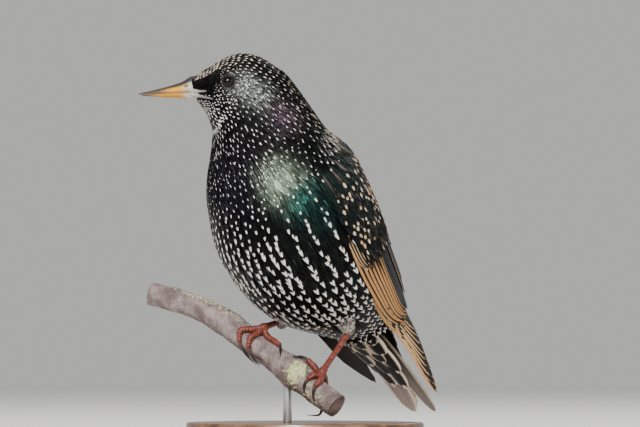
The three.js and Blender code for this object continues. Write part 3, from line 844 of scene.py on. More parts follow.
@dataclass(frozen=True)
class TailPlan:
    """The tail's upper surface, which droops towards its edges. Around is millimetres aside."""

    start: float = -64.5
    tip: float = -123.0
    height: Pair = (3.4, 9.6)
    droop: float = 0.012
    lean: float = 0.055

    def point(self, along: Array, around: Array, lift: Array | float = 0.0) -> Array:
        """Places on the tail.

        Args:
            along: Distance along the body's axis.
            around: Millimetres to the left.
            lift: Millimetres above the surface.

        Returns:
            Points in millimetres.
        """
        rise = mix(*self.height, (self.start - along) / (self.start - self.tip))
        leaning = self.lean * (self.start - along)
        return BIRD.on_axis(along, around + leaning, rise - self.droop * around**2 + lift)


TAIL = TailPlan()


@dataclass(frozen=True)
class CovertPlan:
    """Rounded bed of coverts over or under the tail: distance along, half width, depth."""

    rows: Rows
    sign: int
    floor: float


    def point(self, along: Array, around: Array, lift: Array | float = 0.0) -> Array:
        """Places on the bed.

        Args:
            along: Distance along the body's axis.
            around: Degrees from the bed's middle line to the left.
            lift: Millimetres above the surface.

        Returns:
            Points in millimetres.
        """
        _, width, depth = np.moveaxis(look_up(self.rows, along), -1, 0)
        angle = np.radians(around)
        height = np.maximum((depth + lift) * np.cos(angle), 0)
        return TAIL.point(along, (width + lift) * np.sin(angle), self.floor + self.sign * height)


class Line:
    """A smooth line through points, with a radius at each."""

    def __init__(self, points: Array, radii: Sequence[float]) -> None:
        """Keeps the points, in millimetres, and one radius for each."""
        self.rows = np.column_stack([np.asarray(points, float), np.asarray(radii, float)])

    @property
    def length(self) -> float:
        """Length in millimetres."""
        fine = self.at(np.linspace(0, 1, 200))[0]
        return float(np.linalg.norm(np.diff(fine, axis=0), axis=1).sum())

    def at(self, part: Array) -> tuple[Array, Array]:
        """Points and radii at shares of the way along."""
        found = along_rows(self.rows, np.asarray(part) * (len(self.rows) - 1))
        return found[..., :3], found[..., 3]

    def frame(self, part: Array, facing: Sequence[float]) -> tuple[Array, ...]:
        """Middle, way, front and up across the line.

        Args:
            part: Shares of the way.
            facing: Direction that the front turns to.

        Returns:
            Four arrays of vectors.
        """
        step = 1e-3
        middle = self.at(part)[0]
        way = self.at(np.asarray(part) + step)[0] - self.at(np.asarray(part) - step)[0]
        way /= np.linalg.norm(way, axis=-1, keepdims=True)
        face = np.broadcast_to(np.asarray(facing, float), way.shape)
        front = face - way * (face * way).sum(-1, keepdims=True)
        front /= np.linalg.norm(front, axis=-1, keepdims=True)
        return middle, way, front, np.cross(front, way)

    def point(self, along: Array, around: Array, lift: Array | float = 0.0) -> Array:
        """Places on the line's round skin.

        Args:
            along: Shares of the way.
            around: Degrees from the front.
            lift: Millimetres above the skin.

        Returns:
            Points in millimetres.
        """
        middle, _, front, up = self.frame(along, (0, -1, 0))
        radius = (self.at(along)[1] + lift)[..., None]
        angle = np.radians(around)[..., None]
        return middle + radius * (np.cos(angle) * front + np.sin(angle) * up)

    def skin(self, u: Array, v: Array) -> Array:
        """Places on the skin by shares around and along."""
        return self.point(v, u * 360)


# Mesh helpers


def placed(name: str, data: bpy.types.ID) -> bpy.types.Object:
    """A new object in the scene."""
    piece = bpy.data.objects.new(name, data)
    bpy.context.scene.collection.objects.link(piece)
    return piece


def meshed(name: str, bm: bmesh.types.BMesh, smooth: bool = False) -> Mesh:
    """Turns a bmesh into a mesh and frees it.

    Args:
        name: The mesh's name.
        bm: The bmesh.
        smooth: Whether all its faces are shaded smooth.

    Returns:
        The mesh.
    """
    mesh = bpy.data.meshes.new(name)
    bm.to_mesh(mesh)
    bm.free()
    if smooth:
        mesh.polygons.foreach_set("use_smooth", np.ones(len(mesh.polygons), bool))
    return mesh


def show(mesh: Mesh, slot: Slot, material: Material, *nodes: str) -> bpy.types.Object:
    """Puts a finished mesh in the scene, riding on the model's one body.

    Args:
        mesh: The mesh, in metres.
        slot: The record's slot; not used.
        material: Its material.
        nodes: Solids that it stands for.

    Returns:
        The new object.
    """
    piece = placed(mesh.name, mesh)
    mesh.materials.append(material)
    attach(piece, "root")
    if nodes:
        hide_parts(*nodes)
    mesh.calc_loop_triangles()
    LOG.info("%s: %d triangles", piece.name, len(mesh.loop_triangles))
    return piece


def wrapped(name: str, around: int, along: int, place: Place, tone: Place | None = None) -> Mesh:
    """A grid bent round into a closed skin.

    Args:
        name: The mesh's name.
        around: Cells round it.
        along: Cells along it.
        place: Gives points in millimetres from shares around and along.
        tone: Gives a colour with alpha for each vertex from the same shares.

    Returns:
        The mesh, in metres.
    """
    bm = bmesh.new()
    bm.loops.layers.uv.new("wrap")
    bmesh.ops.create_grid(bm, x_segments=around, y_segments=along, size=1, calc_uvs=True)
    bm.verts.index_update()
    share = np.array([(v.co.x, v.co.y) for v in bm.verts]) * 0.5 + 0.5
    points = place(share[:, 0], share[:, 1]) * MM
    colours = tone(share[:, 0], share[:, 1]) if tone else None
    layer = bm.verts.layers.float_color.new("tone") if tone else None
    for number, vert in enumerate(bm.verts):
        vert.co = points[number]
        if layer:
            vert[layer] = colours[number]
    bmesh.ops.remove_doubles(bm, verts=bm.verts, dist=1e-7)
    bmesh.ops.holes_fill(bm, edges=bm.edges, sides=0)
    bmesh.ops.recalc_face_normals(bm, faces=bm.faces)
    return meshed(name, bm, smooth=True)


def joined(name: str, meshes: Sequence[Mesh]) -> Mesh:
    """Several meshes as one.

    Args:
        name: The new mesh's name.
        meshes: The meshes, which are removed.

    Returns:
        The one mesh.
    """
    bm = bmesh.new()
    for mesh in meshes:
        bm.from_mesh(mesh)
        bpy.data.meshes.remove(mesh)
    return meshed(name, bm)


# Feathers


@dataclass(frozen=True)
class Vane:
    """Shape of one feather: share of the length from the root, and share of the half width."""

    outline: Pairs
    columns: int = 4
    tip_round: float = 0.05
    ragged: float = 0.02
    thickness: float = 0.12

    @cached_property
    def grid(self) -> tuple[Array, Array]:
        """Share across from -1 to 1, and along from 0 to 1, for each point of the top."""
        across = np.linspace(-1, 1, self.columns + 1)
        along = np.array([row[0] for row in self.outline])
        u, v = np.meshgrid(across, along)
        v = v - self.tip_round * u**2 * v**4
        return u.ravel(), v.ravel()

    @cached_property
    def breadth(self) -> Array:
        """Share of the half width for each point."""
        return np.repeat([row[1] for row in self.outline], self.columns + 1)

    @cached_property
    def faces(self) -> list[tuple[int, ...]]:
        """Top quads, then the flat underside, then the two ends."""
        wide, rows = self.columns + 1, len(self.outline)
        top = [
            (r * wide + c, r * wide + c + 1, (r + 1) * wide + c + 1, (r + 1) * wide + c)
            for r in range(rows - 1)
            for c in range(self.columns)
        ]
        under = [
            (r * wide + self.columns, r * wide, (r + 1) * wide, (r + 1) * wide + self.columns)
            for r in range(rows - 1)
        ]
        last = (rows - 1) * wide
        ends = [tuple(range(wide - 1, -1, -1)), tuple(range(last, last + wide))]
        return top + under + ends


    @cached_property
    def rim(self) -> Array:
        """Whether each point is on the feather's outline."""
        wide, rows = self.columns + 1, len(self.outline)
        column = np.tile(np.arange(wide), rows)
        row = np.repeat(np.arange(rows), wide)
        return (column == 0) | (column == self.columns) | (row == 0) | (row == rows - 1)


HACKLE = Vane(
    ((0, 0.4), (0.2, 0.72), (0.4, 0.94), (0.58, 1), (0.72, 0.92), (0.83, 0.74),
     (0.92, 0.48), (1, 0.16)),
    ragged=0.025,
)
SCALE_FEATHER = Vane(
    ((0, 0.45), (0.2, 0.8), (0.4, 0.98), (0.58, 1), (0.73, 0.96), (0.85, 0.82),
     (0.94, 0.58), (1, 0.28))
)
BRISTLE = Vane(((0, 0.6), (0.35, 1), (0.7, 0.8), (1, 0.2)), columns=2, ragged=0.03)
QUILL = Vane(
    (
        (0, 0.6), (0.08, 0.75), (0.16, 0.86), (0.26, 0.94), (0.36, 1), (0.46, 1), (0.56, 0.98),
        (0.66, 0.95), (0.75, 0.9), (0.83, 0.82), (0.9, 0.7), (0.95, 0.54), (0.985, 0.34), (1, 0.16),
    ),
    columns=6,
    tip_round=0.02,
    ragged=0.006,
)
COVERT_VANE = Vane(
    (
        (0, 0.6), (0.12, 0.78), (0.25, 0.9), (0.4, 0.98), (0.55, 1), (0.68, 0.98), (0.79, 0.9),
        (0.88, 0.76), (0.95, 0.54), (1, 0.24),
    ),
    columns=6,
    tip_round=0.03,
    ragged=0.014,
)


PER_FEATHER = ("root", "tip", "width", "lift", "sheen", "trim", "mark")


@dataclass
class Plumes:
    """Many feathers, with one value of each kind for each.

    Roots and tips are places on a surface, widths are half widths, and lifts are heights of
    root and tip, in millimetres. Sheen is the gloss's colour and metal, trim the pale parts'
    colour and lobes, and mark the tip's length and width, the fringe's width and whether it runs
    down both edges. Slope raises the edge on the side that is not covered.
    """

    root: Array
    tip: Array
    width: Array
    lift: Array
    sheen: Array
    trim: Array
    mark: Array
    slope: float = 0.0
    camber: float = 0.3

    def kept(self, chosen: Array) -> "Plumes":
        """Only some of the feathers."""
        return replace(self, **{name: getattr(self, name)[chosen] for name in PER_FEATHER})


@dataclass(frozen=True)
class Coat:
    """Feathers of one shape laid on a surface as one mesh, marked on both sides or only above.

    Patch is each feather's share of the baked picture, and the span is that of its degrees.
    """

    name: str
    surface: Surface
    vane: Vane
    patch: float = 0.008
    around_span: Pair = (0.0, 360.0)
    seed: int = 1
    plain_under: bool = False

    def _shape(self, plumes: Plumes) -> Array:
        """Points of every feather, in millimetres.

        Args:
            plumes: The feathers.

        Returns:
            An array of feathers by points by 3.
        """
        u, v = self.vane.grid
        rng = np.random.default_rng(self.seed)
        loose = rng.normal(0, self.vane.ragged, (len(plumes.root), len(v))) * v**6
        v = np.clip(v + loose, 0, 1.05)
        along = mix(plumes.root[:, :1], plumes.tip[:, :1], v)
        around = mix(plumes.root[:, 1:], plumes.tip[:, 1:], v)
        point, step = self.surface.point, 0.5
        speed = np.linalg.norm(point(along, around + step) - point(along, around - step), axis=-1)
        offset = u * self.vane.breadth * plumes.width[:, None]
        around = around + offset / np.maximum(speed / (2 * step), 1e-3)
        lift = mix(plumes.lift[:, :1], plumes.lift[:, 1:], 1 - (1 - np.clip(v, 0, 1)) ** 1.5)
        crown = self.vane.thickness + plumes.camber * plumes.width[:, None] * 0.3
        return point(along, around, lift + (1 - u**2) * crown + plumes.slope * u / 2)

    def _inside_out(self, plumes: Plumes) -> bool:
        """Whether the faces as listed would point into the surface.

        Args:
            plumes: The feathers, of which the first is tried.

        Returns:
            True where they would.
        """
        point, root = self.surface.point, plumes.root[:1].T
        way = plumes.tip[:1].T - root
        here = point(*root)
        wide = point(root[0], root[1] + 1) - here
        long = point(*(root + way * 0.1)) - here
        return float((np.cross(wide, long) * (point(*root, 1.0) - here)).sum()) < 0

    def _bake_map(self, plumes: Plumes, loops: Array, top_loops: int) -> Array:
        """A small patch for each feather at its root's place on the surface's own unwrap.

        Args:
            plumes: The feathers.
            loops: Point of the vane at each corner of its faces.
            top_loops: Corners that belong to the top.

        Returns:
            A UV for each corner of each feather.
        """
        u, v = self.vane.grid
        low, high = plumes.root[:, 0].min(), plumes.root[:, 0].max()
        start, end = self.around_span
        around = (plumes.root[:, 1] - start) % 360 / max(end - start, 1)
        place = np.column_stack([around, (plumes.root[:, 0] - low) / max(high - low, 1e-6)])
        place = place * (1 - 2 * self.patch) + self.patch * 0.1
        local = np.column_stack([u * 0.5 + 0.5, v])[loops]
        local[top_loops:, 0] = 1.1 + 0.1 * local[top_loops:, 0]
        return place[:, None, :] + local[None] * self.patch

    def dress(
        self, plumes: Plumes, material: Material, slot: Slot, *nodes: str
    ) -> bpy.types.Object:
        """Builds the mesh and shows it.

        Args:
            plumes: The feathers.
            material: Their material.
            slot: The record's slot.
            nodes: Solids that they stand for.

        Returns:
            The new object.
        """
        shape = self._shape(plumes)
        count, size = shape.shape[:2]
        faces = self.vane.faces
        if self._inside_out(plumes):
            faces = [tuple(reversed(face)) for face in faces]
        loops = np.concatenate([np.array(face) for face in faces])
        top_loops = 4 * self.vane.columns * (len(self.vane.outline) - 1)
        mesh = bpy.data.meshes.new(self.name)
        offsets = (np.arange(count) * size).tolist()
        listed = [tuple(i + base for i in face) for base in offsets for face in faces]
        mesh.from_pydata((shape.reshape(-1, 3) * MM).tolist(), [], listed)
        mesh.polygons.foreach_set("use_smooth", np.ones(len(listed), bool))
        edges = np.empty(len(mesh.edges) * 2, np.int32)
        mesh.edges.foreach_get("vertices", edges)
        sharp = self.vane.rim[edges.reshape(-1, 2) % size].all(axis=1)
        mesh.attributes.new("sharp_edge", "BOOLEAN", "EDGE").data.foreach_set("value", sharp)
        for name in ("sheen", "trim", "mark"):
            values = np.repeat(getattr(plumes, name), size, axis=0).astype(np.float32)
            layer = mesh.attributes.new(name, "FLOAT_COLOR", "POINT")
            layer.data.foreach_set("color", values.ravel())
        u, v = self.vane.grid
        vane_uv = np.column_stack([u * 0.5 + 0.5, v])[loops]
        if self.plain_under:
            vane_uv[top_loops:] = vane_uv[top_loops:] * (0.0, 0.9) + (0.4, 0.0)
        mesh.uv_layers.new(name="vane").data.foreach_set("uv", np.tile(vane_uv, (count, 1)).ravel())
        bake = self._bake_map(plumes, loops, top_loops).reshape(-1, 2)
        mesh.uv_layers.new(name="OFBake").data.foreach_set("uv", bake.ravel())
        return show(mesh, slot, material, *nodes)


# Markings, shared by skin and coat


def shared(around: Array) -> tuple[Array, Array, Array]:
    """How far places round the body, by degrees, belong to its front, side and back."""
    front, back = (smooth(sign * np.cos(np.radians(around))) for sign in (-1, 1))
    return front, 1 - front - back, back


def table(rows: Sequence[tuple[float, ...]], index: Array, around: Array) -> Array:
    """Values from a table of index, front, side and back.

    Args:
        rows: The table.
        index: Row indices on the body.
        around: Degrees from the ridge of the back.

    Returns:
        One value for each place.
    """
    columns = np.array(rows, float).T
    stations = [np.interp(index, columns[0], column) for column in columns[1:]]
    return sum(share * value for share, value in zip(shared(around), stations))


@dataclass(frozen=True)
class Markings:
    """Gloss, pale tips and feather sizes all over the body. Rows are index, front, side, back.

    A patch of gloss is its index and degrees, its spread each way, its colour and its metal. The
    near-white one on the upper breast is a painted highlight; the others are the plumage's own
    gloss.
    """

    ground: Colour = (0.007, 0.0065, 0.007)
    ground_metal: float = 0.8
    white: Colour = (0.86, 0.84, 0.79)
    buff: Colour = (0.62, 0.36, 0.17)
    gloss: Rows = (
        (2.4, 25, 1.6, 40, 0.08, 0.07, 0.05, 0.5), (6.1, 84, 1.2, 19, 0.50, 0.54, 0.50, 0.8),
        (8.5, 74, 0.6, 16, 0.11, 0.07, 0.09, 0.8), (5.0, 160, 2.4, 34, 0.03, 0.02, 0.035, 0.8),
        # Painted highlight: the first patch on this line is a near-white glint on the upper breast;
        # the teal one beside it is the plumage's own gloss
        (10.2, 121, 0.55, 16, 0.66, 0.84, 0.60, 0.9), (11.0, 114, 0.6, 14, 0.07, 0.25, 0.20, 0.9),
        (12.1, 107, 0.8, 13, 0.015, 0.06, 0.05, 0.85),
        (9.2, 178, 1.3, 26, 0.03, 0.025, 0.045, 0.8),
        (15.0, 140, 2.6, 34, 0.014, 0.018, 0.015, 0.8),
        (11.5, 30, 2.2, 32, 0.03, 0.075, 0.04, 0.8),
    )
    mark_length: Rows = (
        (0, 0.6, 0.4, 1.3), (2, 0.8, 0.5, 1.6), (4, 0.75, 0.55, 1.3), (6, 0.8, 0.68, 1.1),
        (8, 1.0, 0.9, 1.3), (10, 1.4, 1.3, 2.4), (11, 2.0, 1.8, 2.9), (12.5, 2.5, 2.4, 3.0),
        (14, 2.7, 2.6, 2.8), (16, 2.7, 2.7, 2.8), (18, 2.7, 2.7, 2.6), (21, 2.4, 2.4, 2.4),
    )
    mark_half: Rows = (
        (0, 0.25, 0.2, 0.36), (3, 0.42, 0.32, 0.38), (5, 0.58, 0.45, 0.4), (7, 0.66, 0.56, 0.46),
        (9, 0.68, 0.64, 0.75), (11, 0.72, 0.7, 1.1), (12.5, 0.9, 0.85, 1.1), (14, 1.0, 0.95, 1.1),
        (16, 1.12, 1.1, 1.0), (18, 1.15, 1.1, 1.0), (21, 1.0, 1.0, 0.9),
    )
    lobes: Rows = (
        (0, 0, 0, 0), (10, 0.1, 0.1, 0), (12, 0.4, 0.3, 0), (14, 0.65, 0.6, 0), (21, 0.75, 0.7, 0),
    )
    warmth: Rows = (
        (0, 0.15, 0.2, 0.5), (6, 0.05, 0.1, 0.4), (9, 0.03, 0.1, 0.8), (11, 0.03, 0.12, 1.1),
        (15, 0.05, 0.15, 1), (21, 0.15, 0.3, 1),
    )
    length: Rows = (
        (0, 1.8, 1.8, 2.2), (2, 2.6, 2.6, 3.4), (4, 3.4, 3.2, 4.4), (6, 5, 4.6, 5.6),
        (8, 9, 8, 8), (10, 12, 11, 11), (12, 13, 12.5, 12), (15, 14, 14, 13), (21, 14, 13, 13),
    )

    def sheen(self, index: Array, around: Array) -> Array:
        """Gloss colour with its metal share in alpha.

        Args:
            index: Row indices on the body.
            around: Degrees from the ridge of the back, to either side.

        Returns:
            Four numbers for each place.
        """
        turn = from_ridge(around)
        total = rows_of(len(turn), *self.ground, self.ground_metal)
        for place, degrees, reach, spread, *colour in self.gloss:
            far = ((index - place) / reach) ** 2 + ((turn - degrees) / spread) ** 2
            total = mix(total, np.array(colour), np.exp(-far)[:, None])
        return total

    def trim(self, index: Array, around: Array, rng: Random) -> Array:
        """Colour of the pale tips, with the lobes' share in alpha.

        Args:
            index: Row indices on the body.
            around: Degrees from the ridge of the back.
            rng: Source of small differences.

        Returns:
            Four numbers for each place.
        """
        warm = table(self.warmth, index, around) + rng.normal(0, 0.1, len(index))
        colour = mix(np.array(self.white), np.array(self.buff), np.clip(warm, 0, 1)[:, None])
        return np.column_stack([colour, table(self.lobes, index, around)])


MARKINGS = Markings()


# The body


@dataclass
class Skin:
    """One closed skin over head, neck, torso and thighs, under the coat."""

    depth: float = 1.4
    voxel: float = 0.9
    swell: float = 0.3
    socket_depth: float = 1.6
    socket_reach: float = 6.6
    socket_slope: float = 1.2
    nodes: tuple[str, ...] = ("head", "neck", "torso", "thigh_left", "thigh_right")

    def _cast(self) -> Mesh:
        """The flesh solids run together and drawn in by the coat's depth."""
        bm = bmesh.new()
        for name in self.nodes:
            bm.from_mesh(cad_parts[name].data)
        bmesh.ops.remove_doubles(bm, verts=bm.verts, dist=1e-6)
        mesh = meshed("skin", bm)
        mesh.materials.clear()
        cast = placed("skin_cast", mesh)
        for kind, settings in (
            ("DISPLACE", {"strength": self.swell * MM, "mid_level": 0.0}),
            ("REMESH", {"mode": "VOXEL", "voxel_size": self.voxel * MM}),
            ("SMOOTH", {"factor": 0.5, "iterations": 6}),
            ("DISPLACE", {"strength": -(self.swell + self.depth) * MM, "mid_level": 0.0}),
            ("SMOOTH", {"factor": 0.5, "iterations": 4}),
        ):
            step = cast.modifiers.new(kind.title(), kind)
            for key, value in settings.items():
                setattr(step, key, value)
        graph = bpy.context.evaluated_depsgraph_get()
        result = bpy.data.meshes.new_from_object(cast.evaluated_get(graph))
        bpy.data.objects.remove(cast)
        bpy.data.meshes.remove(mesh)
        result.name = "skin"
        return result

    def build(self) -> None:
        """Builds, marks and dresses the skin."""
        mesh = self._cast()
        points = np.empty(len(mesh.vertices) * 3, np.float32)
        mesh.vertices.foreach_get("co", points)
        points = self._sockets(points.reshape(-1, 3) / MM)
        mesh.vertices.foreach_set("co", (points * MM).astype(np.float32).ravel())
        index, around = self._places(points)
        # The sheen carries the coat's gloss, with the painted highlight on the upper breast
        layer = mesh.attributes.new("sheen", "FLOAT_COLOR", "POINT")
        layer.data.foreach_set("color", MARKINGS.sheen(index, around).astype(np.float32).ravel())
        mesh.polygons.foreach_set("use_smooth", np.ones(len(mesh.polygons), bool))
        show(mesh, Slot.PLUMAGE, SkinFinish("down").make(), *self.nodes)

    def _sockets(self, points: Array) -> Array:
        """Draws the skin in round both eyeballs, so that the lids and fine feathers lie over it.

        Args:
            points: The skin's vertices, in millimetres.

        Returns:
            The moved vertices.
        """
        for side in Side:
            out = points - EYES.centre(side)
            far = np.linalg.norm(out, axis=1, keepdims=True)
            pull = self.socket_depth * smooth((self.socket_reach - far) / self.socket_slope)
            points = EYES.centre(side) + out * (1 - pull / np.maximum(far, 1e-3))
        return points

    def _places(self, points: Array) -> tuple[Array, Array]:
        """Nearest body places of points.

        Args:
            points: The points, in millimetres.

        Returns:
            Index and degrees of each.
        """
        index, around = np.meshgrid(np.arange(0, BODY.end, 0.5), np.arange(0, 360, 12.0))
        index, around = index.ravel(), around.ravel()
        known = BODY.point(index, around)
        blocks = np.array_split(points, max(len(points) // 2000, 1))
        nearest = [((block[:, None] - known) ** 2).sum(-1).argmin(axis=1) for block in blocks]
        nearest = np.concatenate(nearest)
        return index[nearest], around[nearest]


@dataclass
class BodyCoat:
    """Small feathers of head, neck, breast, belly and back, in rows that lie half a step apart.

    A box is a span of row indices and one of degrees from the ridge, on both sides. The face's
    fine feathers have their own rows: first and last index, feathers in a row and fineness.
    """

    columns: int = 54
    coarse_from: float = 10.4
    fine_to: float = 6.6
    gloss_to: float = 11.4
    pitch: Pairs = (
        (0, 1.0), (3, 1.5), (6, 1.9), (8, 2.3), (10.4, 2.8), (10.41, 1.5), (14, 1.6),
        (15.5, 2.1), (21, 2.5),
    )
    slimness: Pairs = ((6.6, 0.85), (8.2, 0.6), (11.0, 0.54))
    wing_top: Pairs = ((12.4, 66), (13.5, 58), (15, 44), (17, 30), (19, 18), (21, 12))
    wing_bottom: float = 91.0
    eye_room: float = 4.3
    leg_room: float = 7.5
    lores: Four = (-1.0, 3.3, 56.0, 116.0)
    flank: Four = (10.6, 14.8, 82.0, 144.0)
    length_spread: Pair = (0.018, 0.05)
    twist: float = 0.045
    marked_rise: float = 0.4
    face_rows: tuple[float, float, int, float] = (-0.3, 7.0, 110, 0.55)
    face_size: Pair = (0.42, 0.68)
    face_reach: float = 9.0
    face_root: float = 1.2
    face_room: float = 3.05
    face_rise: float = 0.12
    ball_room: float = 0.45
    face_pale: float = 0.35
    seed: int = 11
    spans: tuple[tuple[str, float, float], ...] = (
        ("coat_head", -0.5, 7.2), ("coat_neck", 7.2, 10.4), ("coat_breast", 10.4, 14.2),
        ("coat_belly", 14.2, 22.0),
    )

    @property
    def chain_step(self) -> float:
        """Degrees between two feathers of a full row."""
        return 360 / self.columns

    def lattice(self, start: float, end: float, full: int, fineness: float) -> Array:
        """Places of feathers in half-stepped rows.

        Args:
            start: First row's index.
            end: Last index.
            full: Feathers in a full row, of which half grow on the breast and belly.
            fineness: Share of the usual distance between rows.

        Returns:
            Index and degrees for each.
        """
        rng = np.random.default_rng(self.seed)
        stations = np.array(self.pitch, float).T
        ring = np.arange(0, 360, 15.0)
        places, index, number = [], start, 0
        while index < end:
            here, ahead = (BODY.point(np.full_like(ring, i), ring) for i in (index, index + 0.05))
            speed = np.linalg.norm(ahead - here, axis=1).mean() / 0.05
            count = full if index < self.coarse_from else full // 2
            around = (np.arange(count) + 0.5 * (number % 2)) * 360 / count
            places.append(columns(index, around) + rng.normal(0, 1, (count, 2)) * (0.03, 0.5))
            index += np.interp(index, *stations) * fineness / speed
            number += 1
        found = np.concatenate(places)
        found[:, 1] %= 360
        return found[found[:, 0] >= start - 0.1]

    def _bare(self, places: Array, tips: Array) -> Array:
        """Which feathers would grow under a folded wing or lie over an eye or a shank.

        Args:
            places: The feathers' roots.
            tips: Their tips.

        Returns:
            True for each that would.
        """
        turn = from_ridge(places[:, 1])
        top = np.interp(places[:, 0], *np.array(self.wing_top).T)
        under = (places[:, 0] > self.wing_top[0][0]) & (turn > top) & (turn < self.wing_bottom)
        for leg in (LEFT_LEG, RIGHT_LEG):
            away = np.linalg.norm(BODY.point(*tips.T) - BIRD.world(*np.array(leg.hock)), axis=1)
            under |= away < self.leg_room
        return under | self.near_eye(places, tips, self.eye_room)

    @staticmethod
    def near_eye(places: Array, tips: Array, room: float) -> Array:
        """Which feathers come close to an eye.

        Args:
            places: The feathers' roots.
            tips: Their tips.
            room: How close, in millimetres.

        Returns:
            True for each that does.
        """
        near = np.zeros(len(places), bool)
        for side in Side:
            for part in (0.0, 0.5, 1.0):
                spot = BODY.point(*mix(places, tips, part).T)
                near |= np.linalg.norm(spot - EYES.front(side), axis=1) < room
        return near

    @staticmethod
    def _inside(box: Four, index: Array, turn: Array) -> Array:
        """Whether places lie in a box of row indices and degrees from the ridge."""
        return (index > box[0]) & (index < box[1]) & (turn > box[2]) & (turn < box[3])

    def plumes(self, places: Array, shortness: float, slim: float, rng: Random) -> Plumes:
        """Sizes and marks of the feathers at the given places.

        Args:
            places: Index and degrees.
            shortness: Share of the usual length.
            slim: Half width as a share of the usual one.
            rng: Source of small differences.

        Returns:
            The feathers.
        """
        index, around = places.T
        count = len(index)
        here = BODY.point(index, around)
        speed = np.linalg.norm(BODY.point(index + 0.1, around) - here, axis=1) / 0.1
        wide = np.linalg.norm(BODY.point(index, around + 1) - here, axis=1)
        length = table(MARKINGS.length, index, around) * shortness
        length = length * rng.normal(1, np.where(index > self.coarse_from, *self.length_spread))
        length = np.minimum(length, speed * 3)
        twist = rng.normal(0, self.twist, count)
        slim = slim * np.interp(index, *np.array(self.slimness).T)
        width = np.minimum(wide * 360 / self.columns * slim, length * 0.42)
        turn = from_ridge(around)
        over_wing = smooth((index - 11.6) / 1.5) * smooth((turn - 14) / 14) * (turn < 80)
        tip_lift = rng.normal(0.1, 0.05, count) + over_wing * 1.1
        mark = table(MARKINGS.mark_length, index, around) * rng.normal(1, 0.14, count) / length
        bright = np.exp(rng.normal(-0.05, 0.4, count))
        mark_half = table(MARKINGS.mark_half, index, around) * rng.normal(1, 0.12, count)
        line = np.rint(around / self.chain_step).astype(int) % 2 == 1
        flank = line & self._inside(self.flank, index, turn)
        mark[self._inside(self.lores, index, turn) | flank] = NO_MARK
        tip_lift += np.where((index > 10) & (mark > 2 * NO_MARK), self.marked_rise, 0.0)
        return Plumes(
            root=places,
            tip=columns(index + length / speed, around + twist * length / wide),
            width=width,
            lift=columns(over_wing * 0.4 - np.minimum(0.22 * length, 1.5), tip_lift),
            sheen=MARKINGS.sheen(index, around) * columns(bright, bright, bright, 1.0),
            trim=MARKINGS.trim(index, around, rng),
            mark=columns(mark, mark_half / (width * 0.78), 0.0, 1.0),
            camber=0.15,
        )

    def build(self, material: Material) -> None:
        """Builds the coat in lengths.

        Args:
            material: The feathers' material.
        """
        rng = np.random.default_rng(self.seed)
        places = self.lattice(-0.4, BODY.end - 0.5, self.columns, 1.0)
        for name, start, end in self.spans:
            part = places[(places[:, 0] >= start) & (places[:, 0] < end)]
            plumes = self.plumes(part, 1.0, 1.0, rng)
            ends = plumes.root, plumes.tip
            plumes = plumes.kept(~self._bare(*ends) & ~BILL.near_gape(*ends))
            vane = HACKLE if end < 12 else SCALE_FEATHER
            Coat(name, BODY, vane, seed=self.seed).dress(plumes, material, Slot.PLUMAGE)
        below_head = places[places[:, 0] > self.fine_to]
        glossy = below_head[below_head[:, 0] < self.gloss_to]
        self._strands("coat_strands", below_head, 5, 0.2, material, rng)
        self._strands("coat_gloss_strands", glossy, 8, 0.12, material, rng)
        self._face(material, rng)

    def _strands(
        self, name: str, places: Array, each: int, slim: float, material: Material, rng: Random
    ) -> None:
        """Loose strands that lie between the lines of marks.

        Args:
            name: The piece's name.
            places: Index and degrees of the marked feathers.
            each: Strands beside each feather.
            slim: Half width as a share of a feather's.
            material: The strands' material.
            rng: Source of small differences.
        """
        shares = np.linspace(0.22, 0.78, each) * self.chain_step
        ahead = rng.uniform(0.05, 0.3, each)
        roots = np.concatenate([places + offset for offset in zip(ahead, shares)])
        roots = roots[roots[:, 0] < BODY.end - 0.3]
        plumes = self.plumes(roots, 0.92, slim, rng)
        glint = np.exp(rng.normal(-0.3, 0.8, (len(roots), 1)))
        plumes.sheen[:, :3] = np.minimum(plumes.sheen[:, :3] * glint, 0.95)
        plumes.mark[:, 0] = NO_MARK
        plumes.lift[:, 1] = 0.3
        plumes = plumes.kept(~self._bare(plumes.root, plumes.tip))
        Coat(name, BODY, BRISTLE, seed=self.seed).dress(plumes, material, Slot.PLUMAGE)

    def _face(self, material: Material, rng: Random) -> None:
        """Fine feathers close round the eyes and at the bill's root.

        Args:
            material: The feathers' material.
            rng: Source of small differences.
        """
        plumes = self.plumes(self.lattice(*self.face_rows), *self.face_size, rng)
        root, tip = plumes.root, plumes.tip
        close = self.near_eye(root, root, self.face_reach) | (root[:, 0] < self.face_root)
        clear = ~self.near_eye(root, tip, self.face_room)
        plumes = plumes.kept(close & clear & ~BILL.near_gape(root, tip))
        plumes.lift[:, 1] += self.face_rise
        for side in Side:
            for end, spot in enumerate((plumes.root, plumes.tip)):
                here = BODY.point(*spot.T, plumes.lift[:, end])
                far = np.linalg.norm(here - EYES.centre(side), axis=1)
                plumes.lift[:, end] += np.clip(EYES.radius + self.ball_room - far, 0, 3)
        pale = rng.random(len(plumes.root)) < self.face_pale
        plumes.mark[:, 0] = np.where(pale, np.minimum(plumes.mark[:, 0], 0.3), NO_MARK)
        plumes.mark[:, 1] = np.minimum(plumes.mark[:, 1], 0.5)
        coat = Coat("coat_face", BODY, BRISTLE, patch=0.005, seed=self.seed)
        coat.dress(plumes, material, Slot.PLUMAGE)


